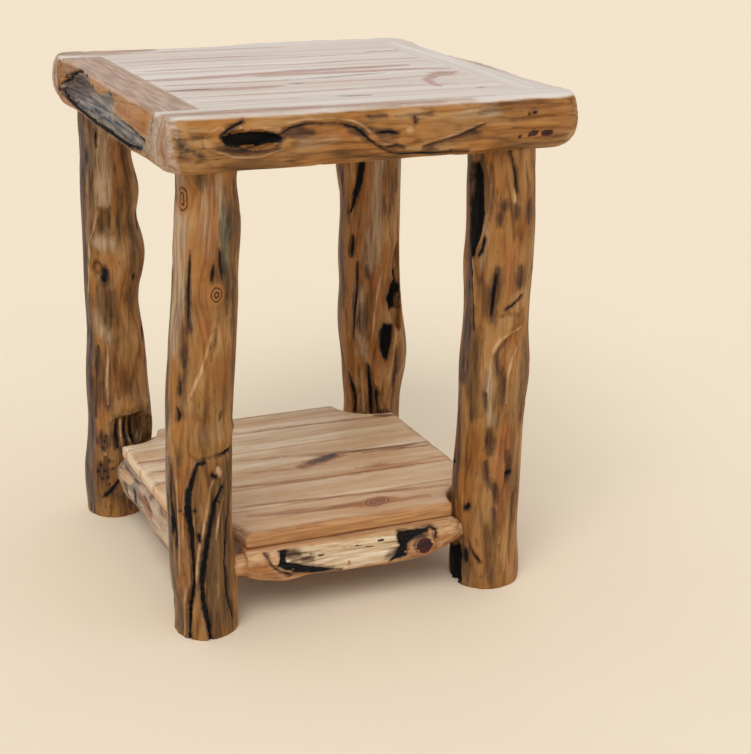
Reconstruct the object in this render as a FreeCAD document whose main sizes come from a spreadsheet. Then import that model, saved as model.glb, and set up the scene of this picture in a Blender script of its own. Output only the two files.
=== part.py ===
import FreeCAD, Part
import Sketcher
import math
import os
from FreeCAD import Placement, Rotation, Vector

# A rustic log side table: four peeled log legs, a square top edged with half logs,
# and a low plank shelf that lies on four log stretchers.
# Millimetres, +Z up, the front towards -Y, the origin on the floor under the middle of the top.

doc = FreeCAD.newDocument("LogTable")
sheet = doc.addObject("Spreadsheet::Sheet", "Sizes")

# Sizes that can be set by themselves
driving_sizes = (
    ("table_height", 640),
    ("top_width", 522),
    ("top_depth", 538),
    ("top_thickness", 64),
    ("top_corner_radius", 22),
    ("edge_wave", 24),
    ("edge_bulge", 13),
    ("rail_width_left", 59),
    ("rail_width_right", 63),
    ("rail_width_front", 51),
    ("rail_width_back", 66),
    ("board_thickness", 22),
    ("leg_radius", 41),
    ("leg_inset_left", 62),
    ("leg_inset_right", 76),
    ("leg_inset_front", 61),
    ("leg_inset_back", 87),
    ("top_tenon_radius", 19),
    ("top_tenon_length", 30),
    ("mortise_wall", 14),
    ("notch_wall", 8),
    ("shelf_height", 115),
    ("shelf_thickness", 20),
    ("shelf_overhang_side", 12),
    ("shelf_overhang_front", 7),
    ("shelf_setback_back", 5),
    ("shelf_front_board_width", 71),
    ("shelf_back_board_width", 67),
    ("cope_gap_front_left", 7),
    ("cope_gap_front_right", 13),
    ("cope_gap_back_left", 11),
    ("cope_gap_back_right", 21),
    ("end_stretcher_radius", 27),
    ("end_stretcher_drop", 20),
    ("side_stretcher_radius", 30),
    ("side_stretcher_drop", 26),
    ("side_stretcher_inset", 10),
    ("stretcher_tenon_radius", 13),
    ("tenon_tip_wall", 5),
    ("shoulder_gap", 6),
    ("saddle_gap", 6),
    ("wood_clearance", 0.15),
    ("rail_dowel_radius", 4),
    ("rail_dowel_length", 50),
    ("shelf_dowel_radius", 4),
    ("shelf_dowel_length", 24),
    ("shelf_dowel_offset", 12),
    ("board_screw_radius", 2),
    ("board_screw_length", 54),
    ("leg_screw_radius", 3.5),
    ("leg_screw_length", 80),
    ("overrun", 10),
)

# Places and sizes that follow from those above
following_sizes = (
    ("half_width", "=top_width / 2"),
    ("half_depth", "=top_depth / 2"),
    ("underside_height", "=table_height - top_thickness"),
    ("board_seat_height", "=table_height - board_thickness"),
    ("seam_left", "=rail_width_left - half_width"),
    ("seam_right", "=half_width - rail_width_right"),
    ("seam_front", "=rail_width_front - half_depth"),
    ("seam_back", "=half_depth - rail_width_back"),
    ("panel_width", "=seam_right - seam_left"),
    ("panel_depth", "=seam_back - seam_front"),
    ("leg_left", "=leg_inset_left - half_width"),
    ("leg_right", "=half_width - leg_inset_right"),
    ("leg_front", "=leg_inset_front - half_depth"),
    ("leg_back", "=half_depth - leg_inset_back"),
    ("leg_span_x", "=leg_right - leg_left"),
    ("leg_span_y", "=leg_back - leg_front"),
    ("ledge_reach", "=top_tenon_radius + mortise_wall"),
    ("notch_reach", "=top_tenon_radius + notch_wall"),
    ("ledge_left", "=leg_left + ledge_reach"),
    ("ledge_right", "=leg_right - ledge_reach"),
    ("ledge_front", "=leg_front + ledge_reach"),
    ("ledge_back", "=leg_back - ledge_reach"),
    ("notch_left", "=leg_left - notch_reach"),
    ("notch_right", "=leg_right + notch_reach"),
    ("ledge_thickness", "=top_thickness - board_thickness"),
    ("top_mortise_radius", "=top_tenon_radius + wood_clearance"),
    ("shelf_seat_height", "=shelf_height - shelf_thickness"),
    ("shelf_left", "=leg_left - shelf_overhang_side"),
    ("shelf_front", "=leg_front - shelf_overhang_front"),
    ("shelf_length", "=leg_span_x + 2 * shelf_overhang_side"),
    ("shelf_depth", "=leg_span_y + shelf_overhang_front - shelf_setback_back"),
    ("shelf_back_board_front", "=shelf_front + shelf_depth - shelf_back_board_width"),
    ("inner_shelf_front", "=shelf_front + shelf_front_board_width"),
    ("inner_shelf_depth", "=shelf_back_board_front - inner_shelf_front"),
    ("end_stretcher_height", "=shelf_seat_height - end_stretcher_drop"),
    ("side_stretcher_height", "=shelf_seat_height - side_stretcher_drop"),
    ("side_stretcher_left", "=leg_left + side_stretcher_inset"),
    ("side_stretcher_right", "=leg_right - side_stretcher_inset"),
    ("stretcher_mortise_radius", "=stretcher_tenon_radius + wood_clearance"),
    ("tenon_tip", "=stretcher_tenon_radius + tenon_tip_wall"),
    ("mortise_bottom", "=tenon_tip - wood_clearance"),
    ("shoulder_reach", "=leg_radius + shoulder_gap"),
    ("saddle_radius", "=leg_radius + saddle_gap"),
    ("dowel_line_left", "=(notch_left - half_width) / 2"),
    ("dowel_line_right", "=(notch_right + half_width - edge_wave / 2) / 2"),
    ("rail_dowel_bore", "=rail_dowel_radius + wood_clearance"),
    ("shelf_dowel_bore", "=shelf_dowel_radius + wood_clearance"),
    ("shelf_dowel_half", "=shelf_dowel_length / 2"),
    ("leg_screw_bore", "=leg_screw_radius + wood_clearance"),
    ("board_screw_bore", "=board_screw_radius + wood_clearance"),
)

for row, (alias, value) in enumerate(driving_sizes + following_sizes, start=1):
    sheet.set("A%d" % row, alias)
    sheet.set("B%d" % row, str(value))
    sheet.setAlias("B%d" % row, alias)
doc.recompute()


def size(alias):
    return float(sheet.get(alias))


# The live edge seen from above: how far along each side, then how far in from the outermost line
right_edge_shares = ((-0.80, 0.10), (-0.68, 0.20), (-0.52, 0.32), (-0.36, 0.20), (-0.24, 0.08),
                     (-0.12, 0.03), (-0.02, 0.04), (0.07, 0.29), (0.20, 0.40), (0.50, 0.42), (0.82, 0.10))
back_edge_shares = ((0.84, 0.42), (0.55, 0.20), (0.29, 0.0), (0.02, 0.45), (-0.25, 0.80),
                    (-0.50, 0.55), (-0.78, 0.29))
left_edge_shares = ((0.80, 0.06), (0.45, 0.10), (0.10, 0.05), (-0.35, 0.0), (-0.80, 0.08))
front_edge_shares = ((-0.80, 0.06), (-0.45, 0.0), (-0.05, 0.08), (0.40, 0.02), (0.80, 0.12))
# Each corner: the sign of x and y, then how far it is drawn in along x and y
corner_shares = ((1, -1, 0.0, 0.14), (1, 1, 0.14, 0.44), (-1, 1, 0.08, 0.28), (-1, -1, 0.10, 0.08))
# The rounded face of the half logs: height in the top, then how far in from the widest line
face_profile_shares = ((0.0, 1.0), (0.15, 0.38), (0.32, 0.10), (0.50, 0.0), (0.68, 0.03),
                       (0.85, 0.16), (1.0, 0.52))
corner_turn_shares = (0.12, 0.5, 0.88)

# Legs, from the foot up: height, thickness, lean to the right, lean to the back,
# how oval the log is there, and the way its long side points as a share of a turn
leg_front_left_shares = (
    (0.0, 0.95, -0.05, 0.02, 0.02, 0.1), (0.08, 0.95, -0.05, 0.02, 0.02, 0.1),
    (0.15, 0.97, -0.11, 0.04, 0.03, 0.1), (0.23, 0.95, -0.15, 0.05, 0.03, 0.15),
    (0.35, 0.99, -0.18, 0.06, 0.02, 0.2), (0.45, 0.97, -0.18, 0.07, 0.02, 0.3),
    (0.52, 0.975, -0.15, 0.06, 0.03, 0.3), (0.62, 0.99, -0.06, 0.03, 0.03, 0.2),
    (0.69, 0.965, 0.0, 0.0, 0.03, 0.1), (0.75, 0.90, 0.05, -0.02, 0.04, 0.0),
    (0.82, 0.89, 0.06, -0.02, 0.04, 0.0), (0.87, 0.91, 0.12, -0.05, 0.04, 0.0),
    (0.93, 0.86, 0.12, -0.05, 0.02, 0.0), (1.0, 0.88, 0.15, -0.06, 0.02, 0.0))
leg_front_right_shares = (
    (0.0, 1.03, -0.06, 0.02, 0.02, 0.0), (0.06, 1.05, -0.09, 0.04, 0.02, 0.0),
    (0.16, 1.05, -0.09, 0.04, 0.03, 0.2), (0.24, 1.08, -0.11, 0.04, 0.03, 0.2),
    (0.35, 1.04, -0.08, 0.03, 0.03, 0.2),
    (0.44, 1.07, -0.04, 0.01, 0.04, 0.1), (0.50, 1.07, -0.02, 0.0, 0.03, 0.0),
    (0.59, 1.0, -0.04, 0.02, 0.02, 0.0), (0.70, 1.02, -0.01, 0.01, 0.03, 0.3),
    (0.82, 1.03, 0.02, -0.01, 0.03, 0.3), (0.93, 1.03, -0.03, 0.01, 0.02, 0.2),
    (1.0, 1.04, -0.08, 0.03, 0.02, 0.2))
leg_back_left_shares = (
    (0.0, 0.96, -0.20, 0.08, 0.02, 0.1), (0.05, 1.01, -0.20, 0.08, 0.02, 0.1),
    (0.13, 1.08, -0.12, 0.05, 0.03, 0.1), (0.20, 1.12, 0.01, 0.0, 0.03, 0.2),
    (0.25, 1.12, 0.05, -0.02, 0.03, 0.2), (0.33, 1.055, -0.03, 0.01, 0.03, 0.1),
    (0.40, 0.97, -0.01, 0.0, 0.02, 0.0), (0.46, 0.95, -0.03, 0.01, 0.03, 0.1),
    (0.52, 0.92, -0.10, 0.04, 0.05, 0.2), (0.57, 0.94, -0.11, 0.05, 0.04, 0.2),
    (0.64, 1.01, -0.02, 0.01, 0.02, 0.1), (0.70, 0.94, -0.09, 0.04, 0.02, 0.1),
    (0.77, 0.94, -0.09, 0.03, 0.03, 0.0), (0.84, 0.86, -0.14, 0.06, 0.03, 0.0),
    (0.90, 0.86, -0.15, 0.06, 0.03, 0.0), (1.0, 0.90, -0.11, 0.04, 0.02, 0.0))
leg_back_right_shares = (
    (0.0, 0.97, 0.07, -0.02, 0.02, 0.0), (0.10, 1.0, 0.09, -0.03, 0.02, 0.0),
    (0.22, 1.04, 0.12, -0.05, 0.03, 0.1), (0.27, 1.10, 0.14, -0.06, 0.03, 0.1),
    (0.31, 1.20, 0.17, -0.07, 0.04, 0.0), (0.36, 1.17, 0.12, -0.05, 0.04, 0.0),
    (0.40, 1.23, 0.02, -0.01, 0.04, 0.1), (0.48, 1.15, -0.04, 0.02, 0.03, 0.2),
    (0.54, 1.10, -0.06, 0.02, 0.03, 0.2), (0.60, 1.13, -0.11, 0.04, 0.03, 0.1),
    (0.68, 1.06, -0.07, 0.02, 0.03, 0.1), (0.75, 1.04, -0.08, 0.03, 0.02, 0.0),
    (0.82, 1.11, -0.17, 0.07, 0.03, 0.0), (1.0, 1.10, -0.18, 0.07, 0.02, 0.0))

# Stretchers, from one leg to the next: how far along, thickness, shift sideways, shift upwards,
# how oval, and the way the long side points
end_stretcher_shares = (
    (0.0, 0.66, 0.0, 0.15, 0.0, 0.0), (0.05, 0.80, 0.0, 0.02, 0.02, 0.2),
    (0.12, 0.93, 0.03, -0.07, 0.03, 0.2), (0.21, 0.96, 0.05, -0.10, 0.03, 0.1),
    (0.30, 0.90, 0.05, -0.04, 0.03, 0.1), (0.42, 0.93, 0.03, -0.07, 0.03, 0.3),
    (0.67, 0.97, 0.03, -0.11, 0.03, 0.3), (0.79, 1.0, 0.0, -0.13, 0.02, 0.1),
    (0.88, 0.92, 0.0, -0.05, 0.02, 0.1), (0.945, 0.76, 0.0, 0.06, 0.02, 0.1),
    (0.98, 0.60, 0.0, 0.04, 0.0, 0.0), (1.0, 0.50, 0.0, 0.0, 0.0, 0.0))
side_stretcher_shares = (
    (0.0, 0.72, 0.0, 0.0, 0.0, 0.0), (0.06, 0.93, 0.0, 0.0, 0.02, 0.2),
    (0.20, 1.0, 0.02, 0.0, 0.03, 0.2), (0.38, 1.03, 0.04, 0.0, 0.03, 0.1),
    (0.55, 0.93, 0.02, 0.02, 0.03, 0.2), (0.70, 0.92, 0.0, 0.02, 0.03, 0.3),
    (0.84, 1.04, -0.02, -0.02, 0.02, 0.2), (0.92, 0.97, 0.0, 0.05, 0.0, 0.0),
    (1.0, 0.78, 0.05, 0.16, 0.0, 0.0))

# Hollows where bark grew in: height up the leg, way round as a share of a turn,
# then half height, half width and depth as shares of the leg's radius
leg_front_left_hollow_shares = ((0.15, 0.62, 2.2, 0.20, 0.13), (0.12, 0.71, 2.0, 0.22, 0.15),
                                (0.66, 0.76, 0.75, 0.14, 0.10))
leg_front_right_hollow_shares = ((0.89, 0.555, 1.6, 0.40, 0.32), (0.06, 0.50, 0.9, 0.30, 0.22))
leg_back_left_hollow_shares = ((0.23, 0.78, 0.60, 0.42, 0.30), (0.63, 0.62, 0.35, 0.20, 0.15))
leg_back_right_hollow_shares = ((0.57, 0.86, 0.85, 0.32, 0.26), (0.46, 0.84, 0.85, 0.38, 0.30))

# Hollows in the edge of the top: the face, x and y of the middle as shares of the half width and
# half depth, its height in the top, then half length, half height and depth as shares of the thickness
edge_hollow_shares = (("left", -1.0, 0.30, 0.53, 2.3, 0.34, 0.22),
                      ("left", -1.0, -0.30, 0.42, 1.8, 0.20, 0.16),
                      ("front", -0.61, -1.0, 0.56, 0.62, 0.19, 0.15))
edge_directions = {
    "left": (Vector(0, 1, 0), Vector(-1, 0, 0)),
    "front": (Vector(1, 0, 0), Vector(0, -1, 0)),
}

# The worn face of the front stretcher: its middle and half length as shares of the way
# between the legs, then half height and depth as shares of the stretcher's radius
stretcher_hollow_shares = (0.50, 0.28, 0.55, 0.28)

top_board_width_shares = (0.095, 0.135, 0.138, 0.157, 0.183, 0.190, 0.102)
inner_shelf_board_width_shares = (0.25, 0.24, 0.24, 0.27)
end_board_screw_shares = (0.22, 0.78)
end_dowel_shares = (0.30, 0.70)
rail_dowel_height_shares = (0.36, 0.66)
screw_head_share = 2.2
screw_head_depth_share = 1.6
screw_point_share = 2.0
screw_tip_share = 0.2
section_points = 10
log_stations = 15
lobe_share = 0.015


def bind(thing, links):
    for field, formula in links.items():
        thing.setExpression(field, formula)


def box(name, length, width, height, x, y, z):
    block = doc.addObject("Part::Box", name)
    bind(block, {"Length": length, "Width": width, "Height": height,
                 "Placement.Base.x": x, "Placement.Base.y": y, "Placement.Base.z": z})
    return block


def cylinder(name, radius, height, x, y, z, direction=Vector(0, 0, 1)):
    rod = doc.addObject("Part::Cylinder", name)
    rod.Placement = Placement(Vector(), Rotation(Vector(0, 0, 1), direction))
    bind(rod, {"Radius": radius, "Height": height,
               "Placement.Base.x": x, "Placement.Base.y": y, "Placement.Base.z": z})
    return rod


def fuse(name, pieces):
    joined = doc.addObject("Part::MultiFuse", name)
    joined.Shapes = pieces
    joined.Refine = False
    return joined


def cut(name, base, tool):
    result = doc.addObject("Part::Cut", name)
    result.Base = base
    result.Tool = tool
    result.Refine = False
    return result


def common(name, base, tool):
    result = doc.addObject("Part::Common", name)
    result.Base = base
    result.Tool = tool
    result.Refine = False
    return result


def closed_curve(points):
    curve = Part.BSplineCurve()
    curve.interpolate(Points=points, PeriodicFlag=True)
    return Part.Wire(curve.toShape())


# The hand-written rows, read at evenly spaced stations
def even_rows(row_shares):
    rows = []
    for station in range(log_stations):
        along = station / (log_stations - 1)
        lower = [row for row in row_shares if row[0] <= along][-1]
        upper = [row for row in row_shares if row[0] >= along][0]
        gap = upper[0] - lower[0]
        blend = (along - lower[0]) / gap if gap else 0
        rows.append([low + (high - low) * blend for low, high in zip(lower, upper)])
    return rows


def log_wires(start, axis, side, up, length, radius, row_shares):
    wires = []
    for along, thick, shift_side, shift_up, oval, turn in even_rows(row_shares):
        centre = start + axis * (length * along)
        centre = centre + side * (radius * shift_side) + up * (radius * shift_up)
        points = []
        for step in range(section_points):
            angle = math.tau * step / section_points
            swell = 1 + oval * math.cos(2 * angle - 2 * math.tau * turn)
            swell = swell + lobe_share * math.cos(3 * angle - math.tau * (turn + along))
            reach = radius * thick * swell
            points.append(centre + side * (reach * math.cos(angle)) + up * (reach * math.sin(angle)))
        wires.append(closed_curve(points))
    return wires


def log_feature(name, start, axis, side, up, length, radius, row_shares):
    log = doc.addObject("Part::Feature", name)
    log.Shape = Part.makeLoft(log_wires(start, axis, side, up, length, radius, row_shares), True, False)
    return log


# A hollow is cut by a barrel that lies along the wood, just outside it:
# a circular section as wide as the hollow at the surface, fading out at both ends
def scoop(name, mouth, along, outward, half_length, half_width, depth):
    radius = (half_width ** 2 + depth ** 2) / (2 * depth)
    middle = mouth + outward * (radius - depth)
    near = middle - along * half_length
    far = middle + along * half_length
    near_rim = near - outward * (radius - depth)
    far_rim = far - outward * (radius - depth)
    arc = Part.Arc(near_rim, middle - outward * radius, far_rim).toShape()
    sides = [Part.makeLine(near, near_rim), arc, Part.makeLine(far_rim, far), Part.makeLine(far, near)]
    barrel = doc.addObject("Part::Feature", name)
    barrel.Shape = Part.Face(Part.Wire(sides)).revolve(middle, along, 360)
    return barrel


# The top before it is cut apart: a slab with a live edge, rounded like a half log
def top_outline(inset):
    wide = size("half_width") - inset
    deep = size("half_depth") - inset
    wave = size("edge_wave")
    radius = size("top_corner_radius")
    sides = (right_edge_shares, back_edge_shares, left_edge_shares, front_edge_shares)
    points = []
    for number, (corner, edge) in enumerate(zip(corner_shares, sides)):
        sign_x, sign_y, in_x, in_y = corner
        middle = Vector(sign_x * (wide - radius - wave * in_x), sign_y * (deep - radius - wave * in_y), 0)
        for turn in corner_turn_shares:
            angle = math.tau * (number - 1 + turn) / 4
            points.append(middle + Vector(math.cos(angle), math.sin(angle), 0) * radius)
        for along, inward in edge:
            if edge is right_edge_shares:
                points.append(Vector(wide - wave * inward, deep * along, 0))
            elif edge is back_edge_shares:
                points.append(Vector(wide * along, deep - wave * inward, 0))
            elif edge is left_edge_shares:
                points.append(Vector(wave * inward - wide, deep * along, 0))
            else:
                points.append(Vector(wide * along, wave * inward - deep, 0))
    return points


def make_top_slab():
    wires = []
    for height, inward in face_profile_shares:
        level = size("underside_height") + size("top_thickness") * height
        outline = top_outline(size("edge_bulge") * inward)
        wires.append(closed_curve([point + Vector(0, 0, level) for point in outline]))
    slab = doc.addObject("Part::Feature", "top_slab")
    slab.Shape = Part.makeLoft(wires, True, False)
    hollows = []
    thickness = size("top_thickness")
    for number, (face, x, y, height, half_length, half_height, depth) in enumerate(
            edge_hollow_shares, start=1):
        along, outward = edge_directions[face]
        mouth = Vector(size("half_width") * x, size("half_depth") * y,
                       size("underside_height") + thickness * height)
        hollows.append(scoop("edge_hollow_%d" % number, mouth, along, outward, thickness * half_length,
                             thickness * half_height, thickness * depth))
    return cut("live_edge_top", slab, fuse("edge_hollows", hollows))


# The four half-log rails: the front and back ones run through, the side ones butt between them.
# Each has a ledge under the boards, wide enough for the leg's mortise.
def make_rails(live_top):
    over = "Sizes.overrun"
    full_width = "Sizes.top_width + 2 * %s" % over
    full_height = "Sizes.top_thickness + 2 * %s" % over
    low = "Sizes.underside_height - %s" % over
    ledge_height = "Sizes.ledge_thickness + %s" % over
    notch_width = "Sizes.notch_right - Sizes.notch_left"
    left = "-Sizes.half_width - %s" % over
    front_band = box("front_band", full_width, "Sizes.rail_width_front + %s" % over, full_height,
                     left, "-Sizes.half_depth - %s" % over, low)
    back_band = box("back_band", full_width, "Sizes.rail_width_back + %s" % over, full_height,
                    left, "Sizes.seam_back", low)
    front_ledge = box("front_ledge", notch_width, "Sizes.ledge_front - Sizes.seam_front", ledge_height,
                      "Sizes.notch_left", "Sizes.seam_front", low)
    back_ledge = box("back_ledge", notch_width, "Sizes.seam_back - Sizes.ledge_back", ledge_height,
                     "Sizes.notch_left", "Sizes.ledge_back", low)
    left_band = box("left_band", "Sizes.rail_width_left + %s" % over, "Sizes.panel_depth", full_height,
                    left, "Sizes.seam_front", low)
    right_band = box("right_band", "Sizes.rail_width_right + %s" % over, "Sizes.panel_depth", full_height,
                     "Sizes.seam_right", "Sizes.seam_front", low)
    left_ledge = box("left_ledge", "Sizes.ledge_left - Sizes.seam_left",
                     "Sizes.ledge_back - Sizes.ledge_front", ledge_height,
                     "Sizes.seam_left", "Sizes.ledge_front", low)
    right_ledge = box("right_ledge", "Sizes.seam_right - Sizes.ledge_right",
                      "Sizes.ledge_back - Sizes.ledge_front", ledge_height,
                      "Sizes.ledge_right", "Sizes.ledge_front", low)
    notches = fuse("rail_notches", [front_ledge, back_ledge])
    zones = {
        "front": fuse("front_zone", [front_band, front_ledge]),
        "back": fuse("back_zone", [back_band, back_ledge]),
        "left": cut("left_zone", fuse("left_rough", [left_band, left_ledge]), notches),
        "right": cut("right_zone", fuse("right_rough", [right_band, right_ledge]), notches),
    }
    return {side: common("rail_%s_blank" % side, live_top, zone) for side, zone in zones.items()}


leg_places = {
    "front_left": ("Sizes.leg_left", "Sizes.leg_front"),
    "front_right": ("Sizes.leg_right", "Sizes.leg_front"),
    "back_left": ("Sizes.leg_left", "Sizes.leg_back"),
    "back_right": ("Sizes.leg_right", "Sizes.leg_back"),
}
leg_row_shares = {
    "front_left": leg_front_left_shares,
    "front_right": leg_front_right_shares,
    "back_left": leg_back_left_shares,
    "back_right": leg_back_right_shares,
}
leg_hollow_shares = {
    "front_left": leg_front_left_hollow_shares,
    "front_right": leg_front_right_hollow_shares,
    "back_left": leg_back_left_hollow_shares,
    "back_right": leg_back_right_hollow_shares,
}


def leg_hollows(place, foot):
    hollows = []
    radius = size("leg_radius")
    for number, (height, way, tall, wide, deep) in enumerate(leg_hollow_shares[place], start=1):
        outward = Vector(math.cos(math.tau * way), math.sin(math.tau * way), 0)
        mouth = foot + outward * radius + Vector(0, 0, size("underside_height") * height)
        hollows.append(scoop("leg_%s_hollow_%d" % (place, number), mouth, Vector(0, 0, 1), outward,
                             radius * tall, radius * wide, radius * deep))
    return hollows


# A leg: the peeled log, the round tenon on its top, the mortises for two stretchers
# and the hole for the screw that comes down through the rail
def make_leg(place):
    x, y = leg_places[place]
    start = Vector(size(x.split(".")[1]), size(y.split(".")[1]), 0)
    log = log_feature("leg_%s_log" % place, start, Vector(0, 0, 1), Vector(1, 0, 0), Vector(0, 1, 0),
                      size("underside_height"), size("leg_radius"), leg_row_shares[place])
    tenon = cylinder("leg_%s_tenon" % place, "Sizes.top_tenon_radius",
                     "Sizes.top_tenon_length + Sizes.overrun", x, y, "Sizes.underside_height - Sizes.overrun")
    along_x = Vector(1, 0, 0) if place.endswith("left") else Vector(-1, 0, 0)
    along_y = Vector(0, 1, 0) if place.startswith("front") else Vector(0, -1, 0)
    bore = "Sizes.leg_radius * 2"
    end_mortise = cylinder("leg_%s_end_mortise" % place, "Sizes.stretcher_mortise_radius", bore,
                           "%s + Sizes.mortise_bottom * %d" % (x, along_x.x), y,
                           "Sizes.end_stretcher_height", along_x)
    side_mortise = cylinder("leg_%s_side_mortise" % place, "Sizes.stretcher_mortise_radius", bore,
                            "Sizes.side_stretcher_" + place.split("_")[1],
                            "%s + Sizes.mortise_bottom * %d" % (y, along_y.y),
                            "Sizes.side_stretcher_height", along_y)
    pilot = cylinder("leg_%s_pilot" % place, "Sizes.leg_screw_bore",
                     "Sizes.leg_screw_length + Sizes.overrun", x, y,
                     "Sizes.board_seat_height - Sizes.leg_screw_length")
    tools = fuse("leg_%s_cuts" % place, [end_mortise, side_mortise, pilot] + leg_hollows(place, start))
    return cut("leg_%s" % place, fuse("leg_%s_stock" % place, [log, tenon]), tools)


# What a stretcher is made of: a peeled log, the round rod that gives it a tenon at each end,
# and the block that planes it flat where the shelf lies
def stretcher_pieces(place):
    if place in ("front", "back"):
        y = "Sizes.leg_front" if place == "front" else "Sizes.leg_back"
        start = Vector(size("leg_left") + size("shoulder_reach"), size(y.split(".")[1]),
                       size("end_stretcher_height"))
        side = Vector(0, -1, 0) if place == "front" else Vector(0, 1, 0)
        axis = Vector(1, 0, 0)
        log = log_feature("stretcher_%s_log" % place, start, axis, side, Vector(0, 0, 1),
                          size("leg_span_x") - 2 * size("shoulder_reach"),
                          size("end_stretcher_radius"), end_stretcher_shares)
        tenon = cylinder("stretcher_%s_tenon" % place, "Sizes.stretcher_tenon_radius",
                         "Sizes.leg_span_x - 2 * Sizes.tenon_tip",
                         "Sizes.leg_left + Sizes.tenon_tip", y, "Sizes.end_stretcher_height", axis)
        plane = box("stretcher_%s_plane" % place, "Sizes.leg_span_x",
                    "2 * (Sizes.end_stretcher_radius + Sizes.overrun)", "Sizes.end_stretcher_radius",
                    "Sizes.leg_left", "%s - Sizes.end_stretcher_radius - Sizes.overrun" % y,
                    "Sizes.shelf_seat_height")
    else:
        x = "Sizes.side_stretcher_" + place
        reach = size("saddle_radius") - size("overrun")
        start = Vector(size(x.split(".")[1]), size("leg_front") + reach, size("side_stretcher_height"))
        side = Vector(-1, 0, 0) if place == "left" else Vector(1, 0, 0)
        axis = Vector(0, 1, 0)
        log = log_feature("stretcher_%s_log" % place, start, axis, side, Vector(0, 0, 1),
                          size("leg_span_y") - 2 * reach,
                          size("side_stretcher_radius"), side_stretcher_shares)
        tenon = cylinder("stretcher_%s_tenon" % place, "Sizes.stretcher_tenon_radius",
                         "Sizes.leg_span_y - 2 * Sizes.tenon_tip",
                         x, "Sizes.leg_front + Sizes.tenon_tip", "Sizes.side_stretcher_height", axis)
        plane = box("stretcher_%s_plane" % place, "2 * (Sizes.side_stretcher_radius + Sizes.overrun)",
                    "Sizes.leg_span_y", "Sizes.side_stretcher_radius",
                    "%s - Sizes.side_stretcher_radius - Sizes.overrun" % x, "Sizes.leg_front",
                    "Sizes.shelf_seat_height")
    return log, tenon, plane


# Side stretchers are hollowed at both ends to follow the round of the legs
def saddles(place):
    return [cylinder("saddle_%s_%s" % (place, end), "Sizes.saddle_radius",
                     "Sizes.shelf_height + 2 * Sizes.overrun", "Sizes.leg_%s" % place,
                     "Sizes.leg_%s" % end, "-Sizes.overrun") for end in ("front", "back")]


# Boards are padded rectangles, each lying in its own place
def board(name, length, width, thickness, x, y, z):
    body = doc.addObject("PartDesign::Body", name + "_body")
    ground = [plane for plane in body.Origin.OriginFeatures if plane.Role == "XY_Plane"][0]
    sketch = body.newObject("Sketcher::SketchObject", name + "_outline")
    sketch.AttachmentSupport = [(ground, "")]
    sketch.MapMode = "FlatFace"
    far = Vector(size("overrun"), size("overrun"), 0)
    corners = (Vector(), Vector(far.x, 0, 0), far, Vector(0, far.y, 0))
    for number in range(4):
        sketch.addGeometry(Part.LineSegment(corners[number], corners[(number + 1) % 4]), False)
    for first, second in ((0, 1), (1, 2), (2, 3), (3, 0)):
        sketch.addConstraint(Sketcher.Constraint("Coincident", first, 2, second, 1))
    sketch.addConstraint(Sketcher.Constraint("Horizontal", 0))
    sketch.addConstraint(Sketcher.Constraint("Vertical", 1))
    sketch.addConstraint(Sketcher.Constraint("Horizontal", 2))
    sketch.addConstraint(Sketcher.Constraint("Vertical", 3))
    sketch.addConstraint(Sketcher.Constraint("Coincident", 0, 1, -1, 1))
    long_side = sketch.addConstraint(Sketcher.Constraint("DistanceX", 0, 1, 0, 2, far.x))
    short_side = sketch.addConstraint(Sketcher.Constraint("DistanceY", 1, 1, 1, 2, far.y))
    sketch.setExpression("Constraints[%d]" % long_side, length)
    sketch.setExpression("Constraints[%d]" % short_side, width)
    pad = body.newObject("PartDesign::Pad", name + "_pad")
    pad.Profile = sketch
    pad.setExpression("Length", thickness)
    sketch.Visibility = False
    bind(body, {"Placement.Base.x": x, "Placement.Base.y": y, "Placement.Base.z": z})
    return body


def start_shares(width_shares):
    starts = [0]
    for share in width_shares[:-1]:
        starts.append(round(starts[-1] + share, 4))
    return starts


def cone(name, lower_radius, upper_radius, height, x, y, z, direction=Vector(0, 0, 1)):
    taper = doc.addObject("Part::Cone", name)
    taper.Placement = Placement(Vector(), Rotation(Vector(0, 0, 1), direction))
    bind(taper, {"Radius1": lower_radius, "Radius2": upper_radius, "Height": height,
                 "Placement.Base.x": x, "Placement.Base.y": y, "Placement.Base.z": z})
    return taper


def compound(name, pieces):
    group = doc.addObject("Part::Compound", name)
    group.Links = pieces
    return group


# A countersunk screw from its head at the given place, pointing up or down
def screw(name, radius, length, x, y, z, direction):
    point = "%s * %s" % (radius, screw_point_share)
    way = "+" if direction.z > 0 else "-"
    head = cone(name + "_head", "%s * %s" % (radius, screw_head_share), radius,
                "%s * %s" % (radius, screw_head_depth_share), x, y, z, direction)
    shank = cylinder(name + "_shank", radius, "%s - %s" % (length, point), x, y, z, direction)
    tip = cone(name + "_tip", radius, "%s * %s" % (radius, screw_tip_share), point,
               x, y, "%s %s (%s - %s)" % (z, way, length, point), direction)
    return fuse(name, [head, shank, tip])


def bores(name, radius, length, places, direction=Vector(0, 0, 1)):
    return [cylinder("%s_%d" % (name, number), radius, length, x, y, z, direction)
            for number, (x, y, z) in enumerate(places, start=1)]


def countersinks(name, radius, places, direction):
    return [cone("%s_%d" % (name, number), "%s * %s + Sizes.wood_clearance" % (radius, screw_head_share),
                 "%s + Sizes.wood_clearance" % radius, "%s * %s" % (radius, screw_head_depth_share),
                 x, y, z, direction)
            for number, (x, y, z) in enumerate(places, start=1)]


subparts = []


def keep(thing, label):
    thing.Label = label
    subparts.append(thing)


# Where the boards of the top begin, as shares of the depth they fill
top_starts = start_shares(top_board_width_shares)
top_middles = [start + share / 2 for start, share in zip(top_starts, top_board_width_shares)]

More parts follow.
